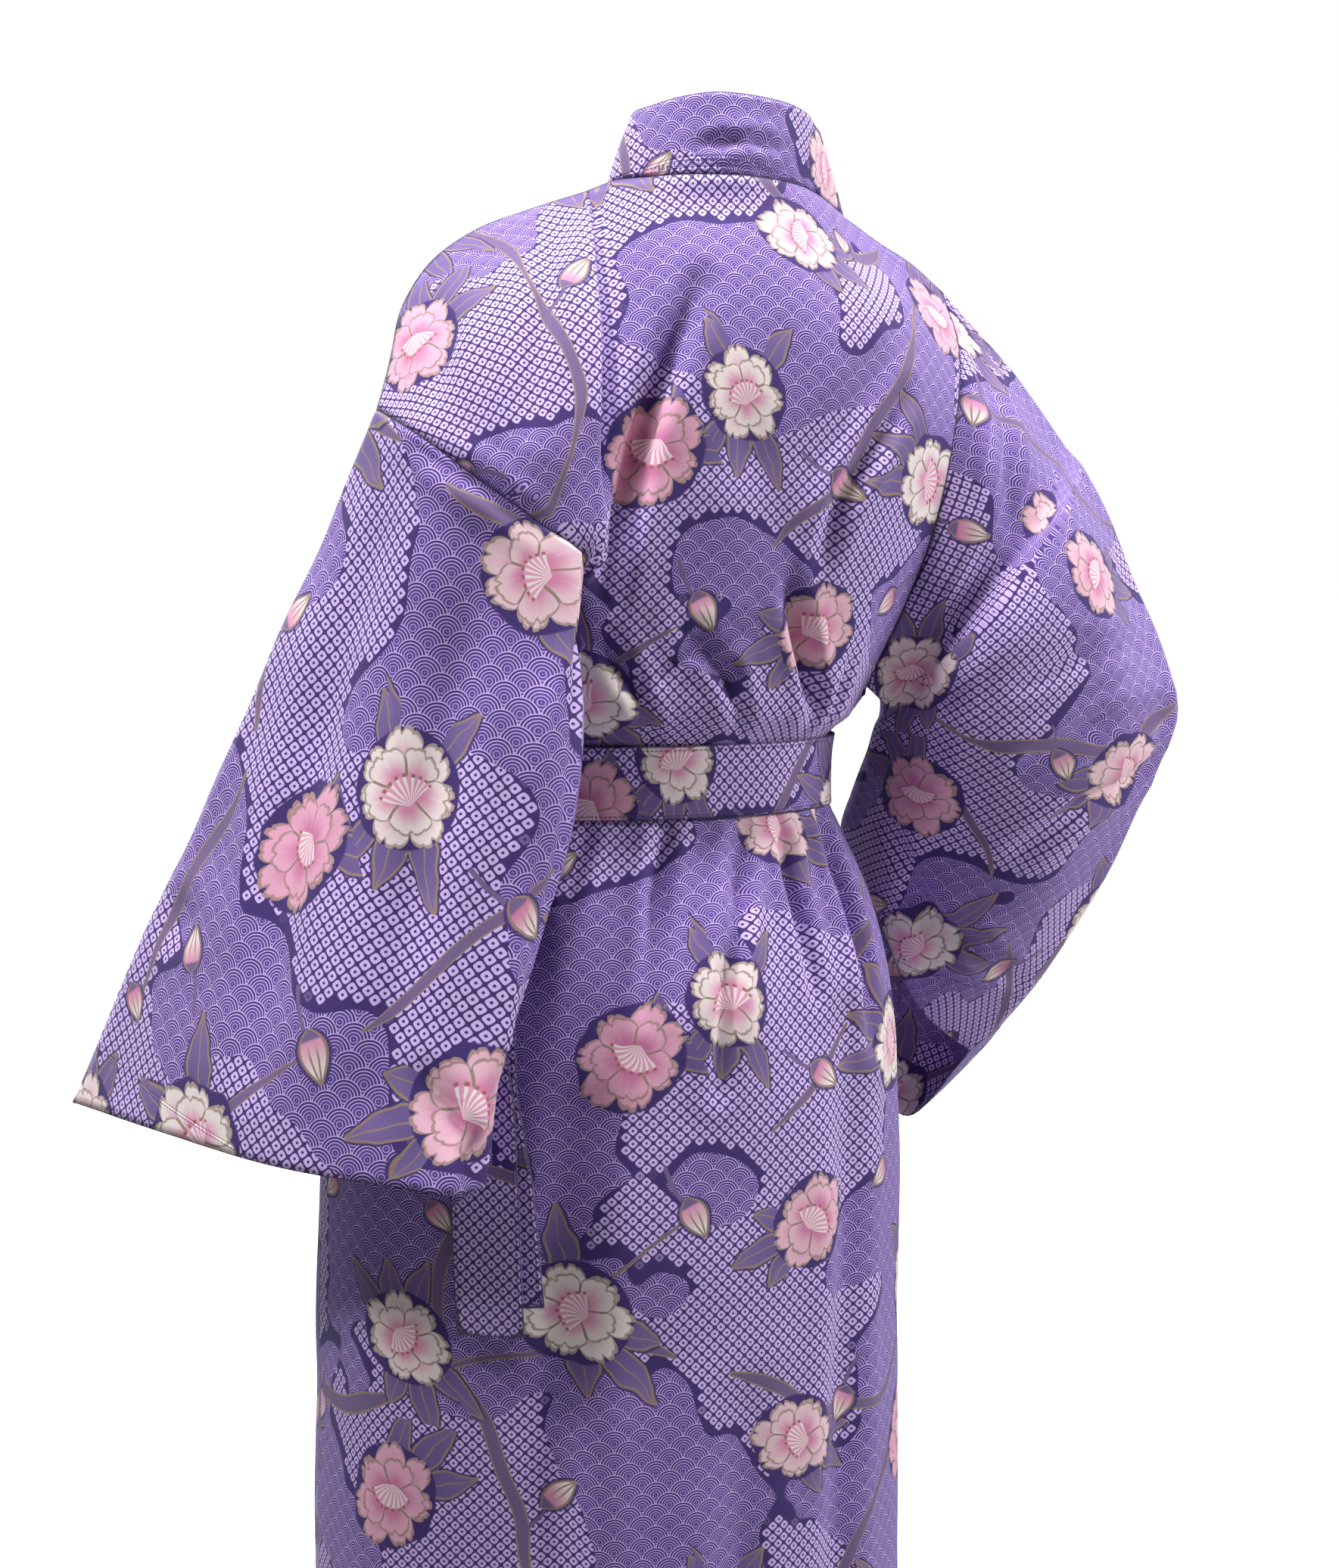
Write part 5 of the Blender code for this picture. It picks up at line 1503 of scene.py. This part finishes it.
    def _petals(self, colour: Wire, reach: Wire, angle: Wire, petals: tuple, tint: Wire) -> Wire:
        """One ring of notched petals.

        Args:
            colour: what lies under the ring.
            reach: distance from the flower's centre in flower sizes.
            angle: direction from the centre.
            petals: count, phase, reach of the tips and how much the ring's petals differ.
            tint: 0 for cream petals, 1 for rose ones.

        Returns:
            The colour with the ring over it.
        """
        count, phase, tip, uneven = petals
        part = (angle * (count / FULL_TURN) + phase).fract() - 0.5
        size = part.abs()
        lobe = Wire.maths("SQRT", Wire.maths("MAXIMUM", 1.0 - size * size * 4.0, 0.0)) * 0.34 + 0.66
        notch = size.step(0.075, 0.0) * 0.11
        side = (size - 0.23).abs().step(0.06, 0.0) * 0.035
        swing = (angle * 2.0 + phase * 9.0).wave() * uneven
        outline = (lobe - notch - side) * (swing + tip)
        share = reach / outline
        inside = share.step(1.03, 1.01)
        rim = share.step(0.93, 0.97)
        gap = ((0.5 - size) * reach * (FULL_TURN / count)).step(0.034, 0.012) * share.step(0.25, 0.45)
        deep = Wire.mix(tint, self.pink, self.rose)
        pale = Wire.mix(tint.step(0.15, 1.10), self.cream, self.pink)
        depth = (share * 1.10 + size * 0.25).step(0.42, 1.02)
        petal = Wire.mix(depth, deep, pale)
        petal = Wire.mix(Wire.maths("MAXIMUM", rim * 0.8, gap), petal, self.gold)
        return Wire.mix(inside, colour, petal)

    def _leaves(self, colour: Wire, reach: Wire, angle: Wire, turn: Wire) -> Wire:
        """Lance-shaped leaves that stand out on two sides of a flower."""
        half = Wire.maths("WRAP", angle + 0.5, HALF_TURN / 2, -HALF_TURN / 2)
        place = Wire.maths("ROUND", half / LEAF_SPREAD).held(-1.0, 1.0)
        own = half - place * LEAF_SPREAD
        x = reach * Wire.maths("COSINE", own)
        y = (reach * own.wave()).abs()
        length = (place * 2.3 + turn * 3.0 + angle.step(-0.2, 0.2) * 1.7).wave() * 0.35 + 1.40
        share = ((x - 0.55) / length).held(0.0, 1.0)
        width = (share.power(0.8) * HALF_TURN).wave() * 0.27
        shown = (Wire.maths("COSINE", angle + 0.5) + (turn * 2.0).wave()).above(-0.25)
        here = width.above(0.012) * shown
        halo = (y - width).step(0.075, 0.06) * here
        blade = (y - width).step(0.02, 0.0) * here
        rim = (y - width).abs().step(0.034, 0.014) * here
        vein = y.step(0.022, 0.008) * blade
        veins = ((x * 9.0 - y * 14.0).fract() - 0.5).abs().step(0.08, 0.02) * blade * 0.30
        green = Wire.mix(share, self.leaf, self.leaf_light)
        colour = Wire.mix(halo * 0.9, colour, self.violet)
        colour = Wire.mix(blade, colour, green)
        return Wire.mix(Wire.maths("MAXIMUM", rim, Wire.maths("MAXIMUM", vein, veins)), colour, self.gold)

    def _blossoms(self, colour: Wire, flat: Wire) -> Wire:
        """Double blossoms with their leaves and fans of stamens."""
        local, tint, turn = self._nearest(flat, FLOWERS)
        shift = Wire.vector("SUBTRACT", Wire.noise(flat, 45.0, 1.0, output=1), (0.5, 0.5, 0.5))
        local = Wire.vector("ADD", local, shift.scaled(0.26))
        x, y, _ = local.split()
        y = y * 1.12
        reach = Wire.length(x, y)
        angle = Wire.maths("ARCTAN2", y, x)
        colour = self._leaves(colour, reach, angle, turn)
        colour = Wire.mix(reach.step(1.06, 1.01), colour, self.violet)
        colour = self._petals(colour, reach, angle, (7.0, 0.20, 1.00, 0.07), tint)
        colour = self._petals(colour, reach, angle, (5.0, 0.62, 0.80, 0.06), tint)
        return self._stamens(colour, x, y)

    def _stamens(self, colour: Wire, x: Wire, y: Wire) -> Wire:
        """Fan of fine stamens with their dark tips, set off the flower's centre."""
        x = x - 0.24
        reach = Wire.length(x, y)
        angle = Wire.maths("ARCTAN2", y, 0.0 - x)
        fan = angle.abs().step(1.22, 1.12)
        body = reach.step(0.50, 0.46) * fan
        lines = ((angle * 3.6).fract() - 0.5).abs().step(0.20, 0.34)
        tips = (reach - 0.50).abs().step(0.045, 0.02) * lines * fan
        colour = Wire.mix(body, colour, self.pink)
        colour = Wire.mix(body * lines, colour, self.cream)
        return Wire.mix(tips, colour, self.stamen)

    def _buds(self, colour: Wire, flat: Wire) -> Wire:
        """Buds, each on its short stem."""
        local, tint, _ = self._nearest(flat, BUDS)
        x, y, _ = local.split()
        side = y.abs()
        stem = ((y - (x * 0.9).wave() * 0.25).abs() - 0.07).step(0.05, 0.0)
        stem = stem * x.step(-2.7, -2.6) * x.step(-0.7, -0.9)
        colour = Wire.mix(stem, colour, self.branch)
        share = ((x + 1.0) * 0.5).held(0.0, 1.0)
        width = (share.power(0.75) * HALF_TURN).wave() * 0.56
        here = width.above(0.02)
        halo = (side - width).step(0.22, 0.18) * here
        body = (side - width).step(0.03, 0.0) * here
        rim = (side - width).abs().step(0.08, 0.03) * here
        fold = (side - width * 0.30).abs().step(0.06, 0.02) * body * x.step(-0.6, 0.1)
        petal = Wire.mix(share.step(0.15, 0.85), Wire.mix(tint, self.pink, self.rose), self.cream)
        colour = Wire.mix(halo * 0.85, colour, self.violet)
        colour = Wire.mix(body, colour, petal)
        colour = Wire.mix(x.step(-0.52, -0.66) * body, colour, self.branch)
        return Wire.mix(Wire.maths("MAXIMUM", rim, fold), colour, self.gold)


@dataclass
class Studio:
    """Plain pale floor, soft lights and the camera."""

    camera_place: tuple = (0.562, 1.4985, -0.24)
    camera_azimuth: float = 160.0
    camera_pitch: float = 6.0
    lens: float = 52.8
    floor: tuple = (0.35, 0.35, 0.35, 1.0)
    white: tuple = (1.0, 1.0, 1.0, 1.0)
    black: tuple = (0.0, 0.0, 0.0, 1.0)
    ambient: float = 0.04
    aim: tuple = (0.02, 0.0, -0.45)
    lamps: tuple = (
        ("overhead", (0.10, 0.35, 3.20), 0.7, 165.0),
        ("key", (1.75, 0.45, 1.75), 0.4, 52.0),
        ("side", (-2.20, 1.00, 0.60), 0.9, 56.0),
        ("front", (0.5, -2.2, 1.3), 1.6, 30.0),
    )

    def build(self) -> None:
        """Make the floor, the lights, the surroundings and the camera."""
        self._floor()
        for name, place, size, power in self.lamps:
            self._light(name, place, size, power)
        world = bpy.data.worlds.new("studio")
        bpy.context.scene.world = world
        world.use_nodes = True
        tree = world.node_tree
        back = tree.nodes["Background"]
        back.inputs["Color"].default_value = self.white
        path = tree.nodes.new("ShaderNodeLightPath")
        share = tree.nodes.new("ShaderNodeMapRange")
        share.inputs["To Min"].default_value = self.ambient
        share.inputs["To Max"].default_value = 1.0
        tree.links.new(path.outputs["Is Camera Ray"], share.inputs["Value"])
        tree.links.new(share.outputs["Result"], back.inputs["Strength"])
        self._camera()
        bpy.context.scene.view_settings.view_transform = "Standard"

    def _floor(self) -> None:
        """Large pale floor just under the hem."""
        deselect()
        bpy.ops.mesh.primitive_plane_add(size=60.0, location=(0.0, 0.0, -ROBE_LENGTH - 0.002))
        floor = bpy.context.object
        floor.name = "floor"
        material = bpy.data.materials.new("pale_floor")
        material.use_nodes = True
        shader = material.node_tree.nodes["Principled BSDF"]
        shader.inputs["Base Color"].default_value = self.floor
        shader.inputs["Roughness"].default_value = 0.9
        Wire.tree = material.node_tree
        seen = Wire(Wire.node("ShaderNodeLightPath").outputs["Is Camera Ray"])
        Wire.feed(shader.inputs["Emission Color"], Wire.mix(seen, self.black, self.white))
        shader.inputs["Emission Strength"].default_value = 1.0
        floor.data.materials.append(material)

    @staticmethod
    def _stand(data: bpy.types.ID, place: tuple, aim: Vector) -> bpy.types.Object:
        """Stand a light or the camera in its place, looking along its aim."""
        thing = bpy.data.objects.new(data.name, data)
        bpy.context.scene.collection.objects.link(thing)
        thing.location = place
        thing.rotation_euler = aim.to_track_quat("-Z", "Y").to_euler()
        return thing

    def _light(self, name: str, place: tuple, size: float, power: float) -> None:
        """One soft square light that looks at the robe's middle."""
        lamp = bpy.data.lights.new(name, "AREA")
        lamp.size = size
        lamp.energy = power
        self._stand(lamp, place, Vector(self.aim) - Vector(place))

    def _camera(self) -> None:
        """Camera at the photograph's angle."""
        lens = bpy.data.cameras.new("camera")
        lens.lens = self.lens
        lens.sensor_fit = "VERTICAL"
        lens.sensor_height = 36.0
        lens.clip_start = 0.05
        lens.clip_end = 200.0
        turn, pitch = math.radians(self.camera_azimuth), math.radians(self.camera_pitch)
        aim = Vector((-math.sin(turn) * math.cos(pitch), math.cos(turn) * math.cos(pitch), -math.sin(pitch)))
        bpy.context.scene.camera = self._stand(lens, self.camera_place, aim)


def main() -> None:
    """Load the frame, make the cloth, and set the stage."""
    logging.basicConfig(level=logging.INFO, format="%(message)s")
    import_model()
    cotton = PrintedCotton().make()
    robe = Robe()
    robe.shape()
    robe.build(cotton)
    Knot().build(cotton)
    Studio().build()


if __name__ == "__main__":
    main()
